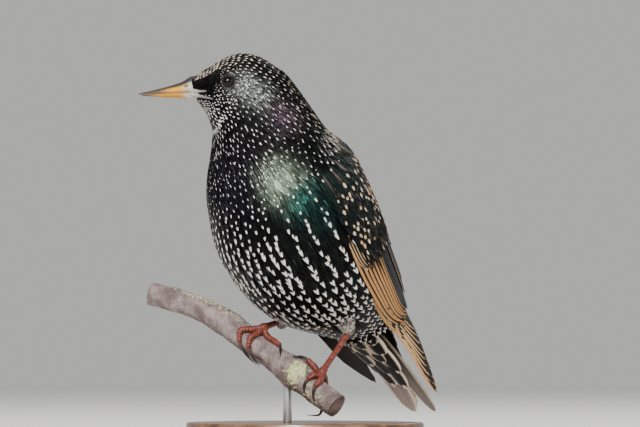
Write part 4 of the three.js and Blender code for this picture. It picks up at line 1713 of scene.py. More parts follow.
@dataclass
class Eyes:
    """Both eyeballs and their lids, in the head's own frame."""

    ahead: float = 39.4
    aside: float = 8.5
    height: float = 60.2
    radius: float = 4.4
    cornea: float = 0.22
    lid_open: float = math.radians(38)
    lid_reach: float = math.radians(66)
    lid_thickness: float = 0.2
    bead: float = 0.16
    lid_dark: Colour = (0.012, 0.011, 0.012)
    lid_pale: Colour = (0.20, 0.165, 0.145)

    def centre(self, side: Side) -> Array:
        """Middle of an eyeball."""
        return BIRD.on_head(self.ahead, side.value * self.aside, self.height)

    def front(self, side: Side) -> Array:
        """Middle of the seen part of an eye."""
        return BIRD.on_head(self.ahead, side.value * (self.aside + self.radius * 0.85), self.height)

    def _round(self, side: Side, radius: Array, polar: Array, turn: Array) -> Array:
        """Places round an eye's middle.

        Args:
            side: Which eye.
            radius: Distances from its middle.
            polar: Angles from the way it looks.
            turn: Angles round that.

        Returns:
            Points in millimetres.
        """
        out, across = radius * np.cos(polar), radius * np.sin(polar)
        ahead, height = self.ahead + across * np.cos(turn), self.height + across * np.sin(turn)
        return BIRD.on_head(ahead, side.value * (self.aside + out), height)

    def _ball(self, side: Side) -> Mesh:
        """One eyeball, with its pole towards the side.

        Args:
            side: Which eye.

        Returns:
            The mesh.
        """

        def place(u: Array, v: Array) -> Array:
            """The ball, with the cornea's low dome."""
            radius = self.radius + self.cornea * smooth(1 - v / 0.24)
            return self._round(side, radius, math.pi * v, 2 * math.pi * u)

        def tone(u: Array, v: Array) -> Array:
            """Distance out from the pupil's middle."""
            out = np.where(v < 0.5, np.sin(math.pi * v), 1.0)
            return columns(out, out, out, 1.0)

        return wrapped(f"eyeball_{side.name.lower()}", 48, 32, place, tone)

    def _lid(self, side: Side) -> Mesh:
        """The lids, a dark ring that hugs the eyeball and ends in a paler bead.

        Args:
            side: Which eye.

        Returns:
            The mesh.
        """

        def section(v: Array) -> tuple[Array, Array]:
            """Share of the way out, and how near the bead."""
            out = 0.5 - 0.5 * np.cos(2 * math.pi * v)
            return out, np.exp(-((out / 0.09) ** 2))

        def place(u: Array, v: Array) -> Array:
            """The ring, a little longer than high."""
            turn = 2 * math.pi * u
            out, rim = section(v)
            polar = mix(self.lid_open, self.lid_reach, out) * (1 + 0.04 * np.cos(2 * turn))
            thick = self.lid_thickness * np.sin(2 * math.pi * v)
            return self._round(side, self.radius + 0.04 + thick + self.bead * rim, polar, turn)

        def tone(u: Array, v: Array) -> Array:
            """Dark, and paler on the bead below the eye."""
            low = smooth(0.7 - 0.8 * np.sin(2 * math.pi * u)) * section(v)[1]
            return opaque(mix(np.array(self.lid_dark), np.array(self.lid_pale), low[:, None]))

        return wrapped(f"lids_{side.name.lower()}", 56, 24, place, tone)

    def build(self) -> None:
        """Builds both eyes."""
        ball, lid = EyeFinish("eyeball").make(), LidFinish("lid").make()
        for side in Side:
            show(self._ball(side), Slot.EYE, ball, f"eye_{side.name.lower()}")
            show(self._lid(side), Slot.PLUMAGE, lid)


EYES = Eyes()


@dataclass
class Bill:
    """Upper and lower halves of the bill, and the pale corner of the mouth.

    Rows are distance ahead, height of the outer edge, height of the cutting edge, half width.
    """

    upper: Rows = (
        (50.5, 63.4, 55.9, 4.5), (56.0, 62.9, 55.9, 4.2), (59.0, 61.2, 55.8, 3.5),
        (61.5, 59.9, 55.7, 3.1), (68.4, 57.8, 55.3, 2.3), (75.0, 56.2, 54.9, 1.4),
        (80.2, 55.0, 54.6, 0.4),
    )
    lower: Rows = (
        (50.5, 51.4, 55.5, 4.3), (56.0, 52.0, 55.5, 3.8), (59.0, 52.6, 55.4, 3.1),
        (61.5, 53.0, 55.3, 2.8), (68.4, 53.3, 54.9, 2.0), (74.5, 53.7, 54.5, 1.2),
        (78.6, 54.0, 54.3, 0.4),
    )
    nostril: Pair = (58.6, 58.5)
    gape: tuple[Rows, ...] = (
        ((58.5, 2.8, 56.2, 0.5), (54.5, 4.0, 56.2, 1.0), (51.5, 5.9, 56.1, 0.85),
         (48.8, 8.2, 56.0, 0.5), (46.4, 9.7, 56.2, 0.12)),
        ((58.5, 2.6, 54.9, 0.5), (54.5, 3.7, 54.5, 1.1), (51.5, 5.3, 54.0, 1.0),
         (48.8, 7.7, 53.2, 0.7), (45.8, 9.3, 52.3, 0.15)),
    )
    gape_room: float = 0.5
    horn: Colour = (0.48, 0.46, 0.42)
    yellow: Colour = (0.62, 0.30, 0.003)
    orange: Colour = (0.58, 0.25, 0.004)
    ridge: Colour = (0.016, 0.015, 0.024)
    dark: Colour = (0.035, 0.028, 0.028)
    # Painted shade of the mouth line, a browner band along the cutting edges
    mouth_line_shade: Colour = (0.26, 0.13, 0.06)
    fold: tuple[Colour, Colour] = ((0.42, 0.40, 0.36), (0.13, 0.125, 0.13))

    def _half(self, name: str, rows: Sequence[tuple[float, ...]]) -> Mesh:
        """One half of the bill.

        Args:
            name: The solid's name.
            rows: The half's rows.

        Returns:
            The mesh.
        """
        listed = np.array(rows, float)

        def section(u: Array, v: Array) -> tuple[Array, ...]:
            """Distance ahead, aside, height, and how far up the section."""
            turn = 2 * math.pi * u
            ahead, outer, edge, width = along_rows(listed, v * (len(listed) - 1)).T
            rise = np.sin(turn)
            bow = np.sign(rise) * np.abs(rise) ** 0.85
            depth = np.where(rise > 0, bow * (outer - edge), -bow * 0.12 * np.sign(edge - outer))
            return ahead, width * np.cos(turn), edge + depth, np.maximum(rise, 0)

        def pit(ahead: Array, height: Array) -> Array:
            """How deep in the slanting nostril."""
            far = ((ahead - self.nostril[0]) / 1.25) ** 2
            far = far + ((height - self.nostril[1] + (ahead - self.nostril[0]) * 0.25) / 0.55) ** 2
            return np.exp(-far)

        def place(u: Array, v: Array) -> Array:
            """The horn, drawn in at the nostril."""
            ahead, aside, height, _ = section(u, v)
            sunk = pit(ahead, height) * 0.75
            return BIRD.on_head(ahead, aside - np.sign(aside) * sunk, height)

        def tone(u: Array, v: Array) -> Array:
            """Pale root, warm middle, dark ridge and tip, and painted shade in the nostril and
            along the mouth line.
            """
            ahead, _, height, rise = section(u, v)
            upper = name == "bill_upper"
            warm = np.array(self.yellow if upper else self.orange)
            colour = mix(np.array(self.horn), warm, smooth((ahead - 56.0) / 6.0)[:, None])
            # Painted shade: the horn browns towards the cutting edges, where the two halves meet
            colour = mix(colour, np.array(self.mouth_line_shade), smooth((0.2 - rise) / 0.2)[:, None] * 0.75)
            top = smooth((rise - 0.42) / 0.3) * (0.97 if upper else 0.0)
            colour = mix(colour, np.array(self.ridge), top[:, None])
            tip = smooth((ahead - (64.0 if upper else 70.0)) / 8.0)
            colour = mix(colour, np.array(self.dark), tip[:, None] * 0.9)
            # Painted shade: the nostril's pit takes the tip's dark colour
            painted_nostril_shade = smooth(pit(ahead, height) * 2.2 - 0.7)[:, None]
            return opaque(mix(colour, np.array(self.dark), painted_nostril_shade))

        return wrapped(f"{name}_horn", 48, 72, place, tone)

    def _fold(self, side: Side, half: int) -> Line:
        """Middle line of the fold at one corner of the mouth, along one half of the bill."""
        ahead, aside, height, radii = np.array(self.gape[half]).T
        return Line(BIRD.on_head(ahead, side.value * aside, height), radii)

    @property
    def folds(self) -> list[tuple[str, Line]]:
        """Names and middle lines of all four folds."""
        which = [(side, half) for side in Side for half in range(len(self.gape))]
        return [(f"gape_{s.name.lower()}_{half}", self._fold(s, half)) for s, half in which]

    def near_gape(self, roots: Array, tips: Array) -> Array:
        """Which feathers would lie over the pale folds.

        Args:
            roots: The feathers' roots on the body.
            tips: Their tips.

        Returns:
            True for each that would.
        """
        near = np.zeros(len(roots), bool)
        for _, fold in self.folds:
            middle, radii = fold.rows[:, :3], fold.rows[:, 3]
            for places in (roots, tips):
                far = np.linalg.norm(BODY.point(*places.T)[:, None] - middle, axis=-1)
                near |= (far - radii - self.gape_room).min(axis=1) < 0
        return near

    def _pale(self, u: Array, v: Array) -> Array:
        """Colour of the fold, which fades as it runs back."""
        return opaque(mix(*map(np.array, self.fold), smooth(v * 1.15)[:, None]))

    def build(self) -> None:
        """Builds the bill and the folds at its corners."""
        horn = HornFinish("bill_horn").make()
        for name, rows in (("bill_upper", self.upper), ("bill_lower", self.lower)):
            show(self._half(name, rows), Slot.BILL, horn, name)
        folds = [wrapped(name, 12, 28, line.skin, self._pale) for name, line in self.folds]
        show(joined("gape", folds), Slot.BILL, horn)


BILL = Bill()


# Wings and tail


@dataclass(frozen=True)
class Tier:
    """One tier of vanes, from its lowest feather to its highest.

    An end is distance along the axis and degrees from the ridge of the back. Fringe is its
    width and whether it runs down both edges, and spot is a pale tip's length and width. The
    first tier of a set gives its slope and camber to all of them.
    """

    name: str
    count: int
    low: tuple[Pair, Pair]
    high: tuple[Pair, Pair]
    width: Pair
    lift: Pair
    sheen: Four
    trim: Colour
    fringe: Pair
    spot: Pair = (0.001, 0.001)
    slope: float = 1.0
    camber: float = 0.05

    def plumes(self, rng: Random, drawn_in: float = 0.0) -> Plumes:
        """The tier's feathers.

        Args:
            rng: Source of small differences.
            drawn_in: How much shorter the lowest feather reaches than its plan.

        Returns:
            The feathers.
        """
        count = self.count
        part = np.linspace(0, 1, count)[:, None]
        ends = [mix(np.array(self.low[e]), np.array(self.high[e]), part) for e in (0, 1)]
        ends[1] = ends[1] + rng.normal(0, 1, ends[1].shape) * (0.5, 0.35)
        ends[1][:, :1] += drawn_in * (1 - part)
        shade = rng.normal(1, 0.06, count)
        trim = rows_of(count, *self.trim, 0.0) * rng.normal(1, 0.05, (count, 1))
        return Plumes(
            root=ends[0],
            tip=ends[1],
            width=mix(*self.width, part[:, 0]) / 2,
            lift=rows_of(count, *self.lift),
            sheen=rows_of(count, *self.sheen) * columns(shade, shade, shade, 1.0),
            trim=np.clip(trim, 0, 1),
            mark=rows_of(count, *self.spot, *self.fringe),
            slope=self.slope,
            camber=self.camber,
        )


def merged(groups: Sequence[Plumes]) -> Plumes:
    """Feathers of several tiers as one set, with the slope and camber of the first."""
    every = {name: [getattr(group, name) for group in groups] for name in PER_FEATHER}
    return replace(groups[0], **{name: np.concatenate(parts) for name, parts in every.items()})


DUSK = (0.030, 0.023, 0.020, 0.15)
SLATE = (0.014, 0.014, 0.016, 0.6)
COVERT_GLOSS = (0.008, 0.011, 0.011, 0.7)
SHOULDER_GLOSS = (0.010, 0.020, 0.017, 0.8)
ORANGE_BUFF = (0.58, 0.29, 0.10)
CREAM_BUFF = (0.62, 0.39, 0.19)
PALE_TIP = (0.72, 0.62, 0.50)
SMOKE = (0.16, 0.12, 0.095)
CREAM = (0.80, 0.68, 0.52)


@dataclass
class Wing:
    """One folded wing: bed, flight feathers and coverts."""

    side: Side
    seed: int = 31
    drawn_in: float = 6.0
    strands: int = 1500
    quills: tuple[Tier, ...] = (
        Tier("outer_primary", 1, ((-22, 99), (-111, 99.5)), ((-22, 99), (-111, 99.5)), (8, 8),
             (-1.6, -0.7), DUSK, ORANGE_BUFF, (0.4, 0)),
        Tier("primaries", 8, ((-22, 97), (-108, 96)), ((-26, 86), (-79, 68)), (8.5, 10),
             (-1.1, -0.8), DUSK, CREAM_BUFF, (0.22, 0)),
        Tier("secondaries", 7, ((-8, 97), (-70, 93)), ((-20, 74), (-68, 70)), (10, 10),
             (-0.6, -0.1), SLATE, ORANGE_BUFF, (0.36, 0)),
        Tier("tertials", 4, ((-18, 68), (-67, 64)), ((-20, 16), (-54, 11)), (14, 13), (-0.5, 0.3),
             SLATE, CREAM_BUFF, (0.08, 1)),
    )
    coverts: tuple[Tier, ...] = (
        Tier("primary_coverts", 5, ((0, 96), (-24, 97)), ((-3, 86), (-25, 88)), (7, 7), (-1.0, 0.2),
             DUSK, CREAM_BUFF, (0.16, 0), slope=0.8),
        Tier("greater_coverts", 9, ((9, 90), (-19, 90)), ((0, 22), (-42, 16)), (9, 11), (-1.1, 0.6),
             COVERT_GLOSS, PALE_TIP, (0.0, 0), (0.1, 0.62)),
        Tier("median_coverts", 8, ((16, 90), (-1, 91)), ((13, 24), (-22, 20)), (9, 11), (-1.0, 0.9),
             COVERT_GLOSS, PALE_TIP, (0.0, 1), (0.13, 0.6)),
    )

    def _bed(self, plan: WingPlan) -> Mesh:
        """The wing's muscle, a thin closed pad under the vanes.

        Args:
            plan: The wing's surface.

        Returns:
            The mesh.
        """

        def place(u: Array, v: Array) -> Array:
            """The pad, out along its top and back along its underside."""
            along = mix(20.0, -60.0, v)
            loop = 1 - np.abs(2 * u - 1)
            degrees = mix(mix(24.0, 5.0, v), mix(95.0, 88.0, v), loop)
            lift = np.where(u < 0.5, -1.5, -2.3 - 0.6 * np.sin(np.pi * loop))
            return plan.point(along, degrees, lift)

        def tone(u: Array, v: Array) -> Array:
            """One dark colour."""
            return rows_of(len(u), *SLATE)

        return wrapped(f"bed_{self.side.name.lower()}", 36, 40, place, tone)

    def _lesser(self, rng: Random) -> Plumes:
        """Scaly small coverts at the bend of the wing.

        Args:
            rng: Source of small differences.

        Returns:
            The feathers.
        """
        rows = []
        for number, along in enumerate(np.arange(24.0, -7.0, -2.9)):
            degrees = np.arange(24.0, 95.0, 5.6) + 2.8 * (number % 2)
            rows.append(columns(along, degrees[degrees > 24.0 + 2.4 * max(4.0 - along, 0.0)]))
        root = np.concatenate(rows)
        root = root + rng.normal(0, 1, root.shape) * (0.35, 0.6)
        count = len(root)
        length = rng.normal(9.0, 0.5, count)
        tip = root - columns(length, rng.normal(0, 1.2, count))
        share = smooth((root[:, 0] - 8) / 16)[:, None]
        trim = mix(np.array(CREAM_BUFF), np.array(PALE_TIP), rng.random((count, 1)))
        lift = columns(-1.0, rng.normal(1.15, 0.1, count))
        spotted = rng.random(count) < 0.6
        spot = np.where(spotted, rng.normal(0.22, 0.03, count), NO_MARK)
        return Plumes(
            root=root,
            tip=tip,
            width=np.full(count, 2.5),
            lift=lift,
            sheen=mix(rows_of(count, *COVERT_GLOSS), np.array(SHOULDER_GLOSS), share),
            trim=np.column_stack([trim, np.zeros(count)]),
            mark=columns(spot, rng.normal(0.5, 0.06, count), 0.0, 1.0),
            camber=0.3,
        )

    def _loose(self, rng: Random) -> Plumes:
        """Wispy dark and smoky strands that stray over the coverts.

        Args:
            rng: Source of small differences.

        Returns:
            The strands.
        """
        count = self.strands
        share = rng.random(count)
        degrees = mix(rng.uniform(22, 94, count), rng.uniform(40, 90, count), share)
        root = columns(mix(28.0, -13.0, share), degrees)
        length = rng.normal(12.0, 2.2, count)
        tip = root - columns(length, rng.normal(-1.0, 3.2, count))
        smoke = (rng.random((count, 1)) < 0.22) * rng.uniform(0.4, 1.0, (count, 1))
        green = rng.uniform(0.2, 3.0, (count, 1)) * (1 - share[:, None])
        sheen = rows_of(count, 0.008, 0.010, 0.010, 0.7) + green * (0.004, 0.010, 0.008, 0.0)
        return Plumes(
            root=root,
            tip=tip,
            width=rng.uniform(0.4, 0.85, count),
            lift=columns(-0.6, rng.normal(1.15, 0.15, count)),
            sheen=mix(sheen, np.array((*SMOKE, 0.0)), smoke),
            trim=rows_of(count, *CREAM_BUFF, 0),
            mark=rows_of(count, NO_MARK, 0.5, 0, 1),
            camber=0.3,
        )

    def build(self, feather: Material, bed: Material) -> None:
        """Builds the wing.

        Args:
            feather: The vanes' material.
            bed: The pad's material.
        """
        plan = WingPlan(self.side)
        name = self.side.name.lower()
        rng = np.random.default_rng(self.seed)
        show(self._bed(plan), Slot.FLIGHT, bed)
        shorter = self.drawn_in if self.side is Side.RIGHT else 0.0
        quills = [tier.plumes(rng, shorter * ("primar" in tier.name)) for tier in self.quills]
        coat = Coat(f"quills_{name}", plan, QUILL, 0.03, (0, 100), plain_under=True)
        coat.dress(merged(quills), feather, Slot.FLIGHT, f"wing_{name}")
        for kind, vane, patch, plumes in (
            ("coverts", COVERT_VANE, 0.03, merged([tier.plumes(rng) for tier in self.coverts])),
            ("lesser", SCALE_FEATHER, 0.02, self._lesser(rng)),
            ("loose", BRISTLE, 0.01, self._loose(rng)),
        ):
            coat = Coat(f"{kind}_{name}", plan, vane, patch, (0, 100))
            coat.dress(plumes, feather, Slot.FLIGHT)


@dataclass
class Tail:
    """Tail feathers in pairs, and the coverts over and under them."""

    pairs: int = 6
    inner: Pair = (0.8, 5.0)
    outer: Pair = (3.0, 6.6)
    notch: float = 3.5
    width: float = 11.6
    step: float = 0.3
    seed: int = 51
    under_rows: Rows = (
        (-64.5, 13.6, 11.6), (-72, 13, 8.8), (-82, 12, 5.6), (-93, 10.6, 3.2), (-101, 9, 2.2),
    )
    upper_rows: Rows = ((-64.5, 11.6, 9.6), (-72, 10.6, 7.2), (-80, 9.2, 4.8), (-88, 7.8, 2.8))
    under: tuple[tuple[int, float, float, float, float], ...] = (
        (2, -78, -103, 10.0, 24), (3, -73, -95, 9.6, 46), (2, -69, -87, 9.6, 26),
        (3, -66, -79, 9.4, 50), (4, -63, -72, 8.4, 58),
    )
    upper: tuple[tuple[int, float, float, float, float], ...] = (
        (3, -70, -91, 7.6, 30), (4, -66, -84, 7.2, 46), (5, -62, -77, 7.0, 56),
    )
    # Painted light: one brown as a darker, shaded copy for the left half of the tail and a paler,
    # lit copy for the right half
    lobes: tuple[Colour, Colour] = ((0.27, 0.21, 0.18), (0.42, 0.325, 0.28))

    def _quills(self, rng: Random) -> Plumes:
        """The tail's own feathers, pair by pair from the middle.

        Args:
            rng: Source of small differences.

        Returns:
            The feathers.
        """
        pair = np.repeat(np.arange(self.pairs), 2)
        side = np.tile([1.0, -1.0], self.pairs)
        part = pair / (self.pairs - 1)
        count = len(pair)
        level = -pair * self.step + np.where(side > 0, 0.12, 0)
        tip_along = TAIL.tip + self.notch * (1 - part) ** 2
        # Painted light: feathers on the bird's left take the darker shaded brown, those on its
        # right the paler lit one
        tone = np.where(side[:, None] > 0, *(np.array((*lobe, 0.1)) for lobe in self.lobes))
        return Plumes(
            root=columns(TAIL.start, side * mix(self.inner[0], self.outer[0], part)),
            tip=columns(tip_along, side * mix(self.inner[1], self.outer[1], part)),
            width=np.full(count, self.width / 2),
            lift=columns(level, level),
            sheen=tone * rng.normal(1, 0.08, (count, 1)),
            trim=rows_of(count, *CREAM, 0),
            mark=rows_of(count, 0.001, 0.001, 0.26, 1),
            camber=0.05,
        )

    def _tiers(self, tiers: Rows, trim: Colour, fringe: float, rng: Random) -> Plumes:
        """Tiers of coverts that gather towards the middle.

        Args:
            tiers: Count, root, tip, width and reach in degrees of each tier.
            trim: Colour of the fringe.
            fringe: Its width.
            rng: Source of small differences.

        Returns:
            The feathers.
        """
        roots, tips, widths = [], [], []
        for count, start, end, width, reach in tiers:
            degrees = np.linspace(-reach, reach, count) + rng.normal(0, 2, count)
            roots.append(columns(start, degrees))
            tips.append(columns(end + rng.normal(0, 0.8, count), degrees * 0.8))
            widths.append(np.full(count, width / 2))
        width = np.concatenate(widths)
        count = len(width)
        return Plumes(
            root=np.concatenate(roots),
            tip=np.concatenate(tips),
            width=width,
            lift=columns(-1.0, rng.normal(0.1, 0.15, count)),
            sheen=rows_of(count, 0.014, 0.014, 0.016, 0.4),
            trim=rows_of(count, *trim, 0),
            mark=rows_of(count, 0.1, 0.5, fringe, 1),
            camber=0.2,
        )

    def build(self, feather: Material) -> None:
        """Builds tail and coverts.

        Args:
            feather: The vanes' material.
        """
        rng = np.random.default_rng(self.seed)
        coat = Coat("tail_quills", TAIL, QUILL, 0.05, (-12, 12))
        coat.dress(self._quills(rng), feather, Slot.FLIGHT, "tail")
        for name, plan, tiers, trim, fringe in (
            ("under", CovertPlan(self.under_rows, -1, -2.9), self.under, CREAM, 0.55),
            ("upper", CovertPlan(self.upper_rows, 1, 0.6), self.upper, SMOKE, 0.2),
        ):
            coat = Coat(f"{name}_coverts", plan, COVERT_VANE, 0.03, (-90, 90))
            plumes = self._tiers(tiers, trim, fringe, rng)
            coat.dress(plumes, feather, Slot.COVERTS, f"tail_coverts_{name}")


# Perch, legs and stand


@dataclass
class Perch:
    """The cut length of branch: points along the middle and the radius at each.

    A patch is its height, or its share of a colour, then its place around and along the branch,
    and its spread each way. The bumps are a knot, a hollow and a swelling.
    """

    rows: Rows = (
        (-70.5, 28, 66.4, 5.1), (-58, 24, 63.2, 5.2), (-47, 19.5, 59.0, 5.5),
        (-36, 14.5, 53.0, 6.2), (-27.5, 10, 46.6, 5.7), (-19.2, 4.8, 40.4, 5.6),
        (-11, -0.5, 35.2, 6.0), (-4, -5.5, 30.2, 7.2), (1, -8.7, 26, 6.2),
        (5.8, -11.8, 21.8, 5.7), (14.2, -17.4, 15.6, 5.3),
    )
    bumps: Rows = (
        (0.7, 0.98, 0.44, 0.09, 0.03), (-0.9, 0.86, 0.52, 0.06, 0.035),
        (0.6, 0.02, 0.73, 0.16, 0.05),
    )
    scars: Rows = ((1.0, 0.86, 0.52, 0.045, 0.028),)
    crusts: Rows = (
        (0.75, 0.02, 0.74, 0.2, 0.07), (0.45, 0.2, 0.2, 0.14, 0.2), (0.4, 0.9, 0.9, 0.2, 0.08),
    )

    @cached_property
    def line(self) -> Line:
        """The branch's middle line."""
        rows = np.array(self.rows, float)
        return Line(rows[:, :3], rows[:, 3])

    def nearest(self, point: Array) -> float:
        """Share of the way along at which the branch comes nearest to a point."""
        parts = np.linspace(0, 1, 500)
        return float(parts[np.linalg.norm(self.line.at(parts)[0] - point, axis=1).argmin()])

    def spot(self, start: float, along: float, degrees: float, height: float) -> Array:
        """A point by millimetres along from a place, degrees up from the front, and height."""
        part = start + along / self.line.length
        return self.line.point(np.array([part]), np.array([degrees]), height)[0]

    @staticmethod
    def _patched(start: Array | float, patches: Rows, u: Array, v: Array) -> Array:
        """Adds soft round patches.

        Args:
            start: What they are added to.
            patches: The patches.
            u: Shares around the branch.
            v: Shares along it.

        Returns:
            One value for each place.
        """
        for high, around, along, wide, long in patches:
            turn = np.abs((u - around + 0.5) % 1 - 0.5)
            start = start + high * np.exp(-((turn / wide) ** 2) - ((v - along) / long) ** 2)
        return start

    def build(self) -> None:
        """Builds the branch."""

        def place(u: Array, v: Array) -> Array:
            """The bark, with its broad and fine roughness and its patches."""
            middle = self.line.skin(u, v)
            rough = np.array([noise.fractal(Vector(p) * 0.28, 0.9, 2.1, 4) for p in middle])
            fine = np.array([noise.noise(Vector(p) * 1.3) for p in middle])
            turn, far = 2 * math.pi * u, v * 3
            even = 1 + 0.035 * np.sin(3 * turn + 3 * far) + 0.03 * np.sin(2 * turn - 7 * far)
            lift = self.line.at(v)[1] * (even - 1) + rough * 0.28 + fine * 0.12
            return self.line.point(v, u * 360, self._patched(lift, self.bumps, u, v))

        def tone(u: Array, v: Array) -> Array:
            """Lichen, and the wound."""
            crust = self._patched(0.10, self.crusts, u, v)
            return columns(crust, self._patched(0.0, self.scars, u, v), 0.0, 1.0)

        mesh = wrapped("branch_bark", 96, 300, place, tone)
        self._saw(mesh)
        show(mesh, Slot.BARK, BarkFinish("bark").make(), "perch_branch")

    @staticmethod
    def _saw(mesh: Mesh) -> None:
        """Gives both cut ends the colour of sawn wood.

        Args:
            mesh: The branch's mesh, which is changed.
        """
        bm = bmesh.new()
        bm.from_mesh(mesh)
        layer = bm.verts.layers.float_color["tone"]
        ends = [face for face in bm.faces if len(face.verts) > 4]
        inner = bmesh.ops.inset_individual(bm, faces=ends, thickness=0.5 * MM, use_even_offset=True)
        bmesh.ops.poke(bm, faces=ends)
        for face in ends + inner["faces"]:
            if face.is_valid:
                face.smooth = False
        for vert in {v for face in bm.faces if not face.smooth for v in face.verts}:
            if all(not face.smooth for face in vert.link_faces):
                vert[layer] = (0.0, 0.0, 1.0, 1.0)
        bm.to_mesh(mesh)
        bm.free()


PERCH = Perch()


@dataclass(frozen=True)
class LegPlan:
    """Where one leg's thigh, hock and foot are, in the bird's frame, and how its toes lie.

    A toe's and a claw's places are millimetres along the branch from the foot, degrees up from
    the front and, where a claw stands off the bark, its height.
    """

    side: Side
    thigh: tuple[Spot, ...]
    hock: Spot
    joint: Spot
    toes: tuple[Pairs, ...]
    claws: tuple[Rows, ...]


LEFT_LEG = LegPlan(
    Side.LEFT,
    thigh=((-8, 15, -34), (-13.5, 14.5, -45), (-17.2, 14, -52.2)),
    hock=(-17.8, 14, -53),
    joint=(2.4, 16, -71.2),
    toes=(
        ((-3, 76), (-9, 80), (-15, 78)),
        ((-0.5, 62), (-1.5, 38), (-2, 14)),
        ((2.5, 66), (5.5, 40), (6, 12)),
        ((1, 108), (3.5, 142), (6.5, 182)),
    ),
    claws=(
        ((-18, 62), (-20, 38)),
        ((-0.5, -12), (2.5, -36)),
        ((7.5, -12), (9, -36)),
        ((9.5, 224, 1.6), (11, 258, 2.8), (8, 272, 5.6)),
    ),
)
RIGHT_LEG = LegPlan(
    Side.RIGHT,
    thigh=((-14, -13, -36), (-9.5, -15, -44), (-5.2, -16, -48.6)),
    hock=(-12.5, -16, -46.4),
    joint=(7.4, -16, -51.2),
    toes=(
        ((-2.4, 54), (-5.8, 12), (-3.2, -28)),
        ((0.2, 56), (0.2, 14), (2, -24)),
        ((4, 74), (9, 72), (13, 66)),
        ((1, 108), (2, 142), (3, 175)),
    ),
    claws=(((2, -56), (7.5, -76)), ((6, -48), (10, -64)), ((15.5, 44), (18.5, 18)),
            ((4, 208), (5, 236))),
)


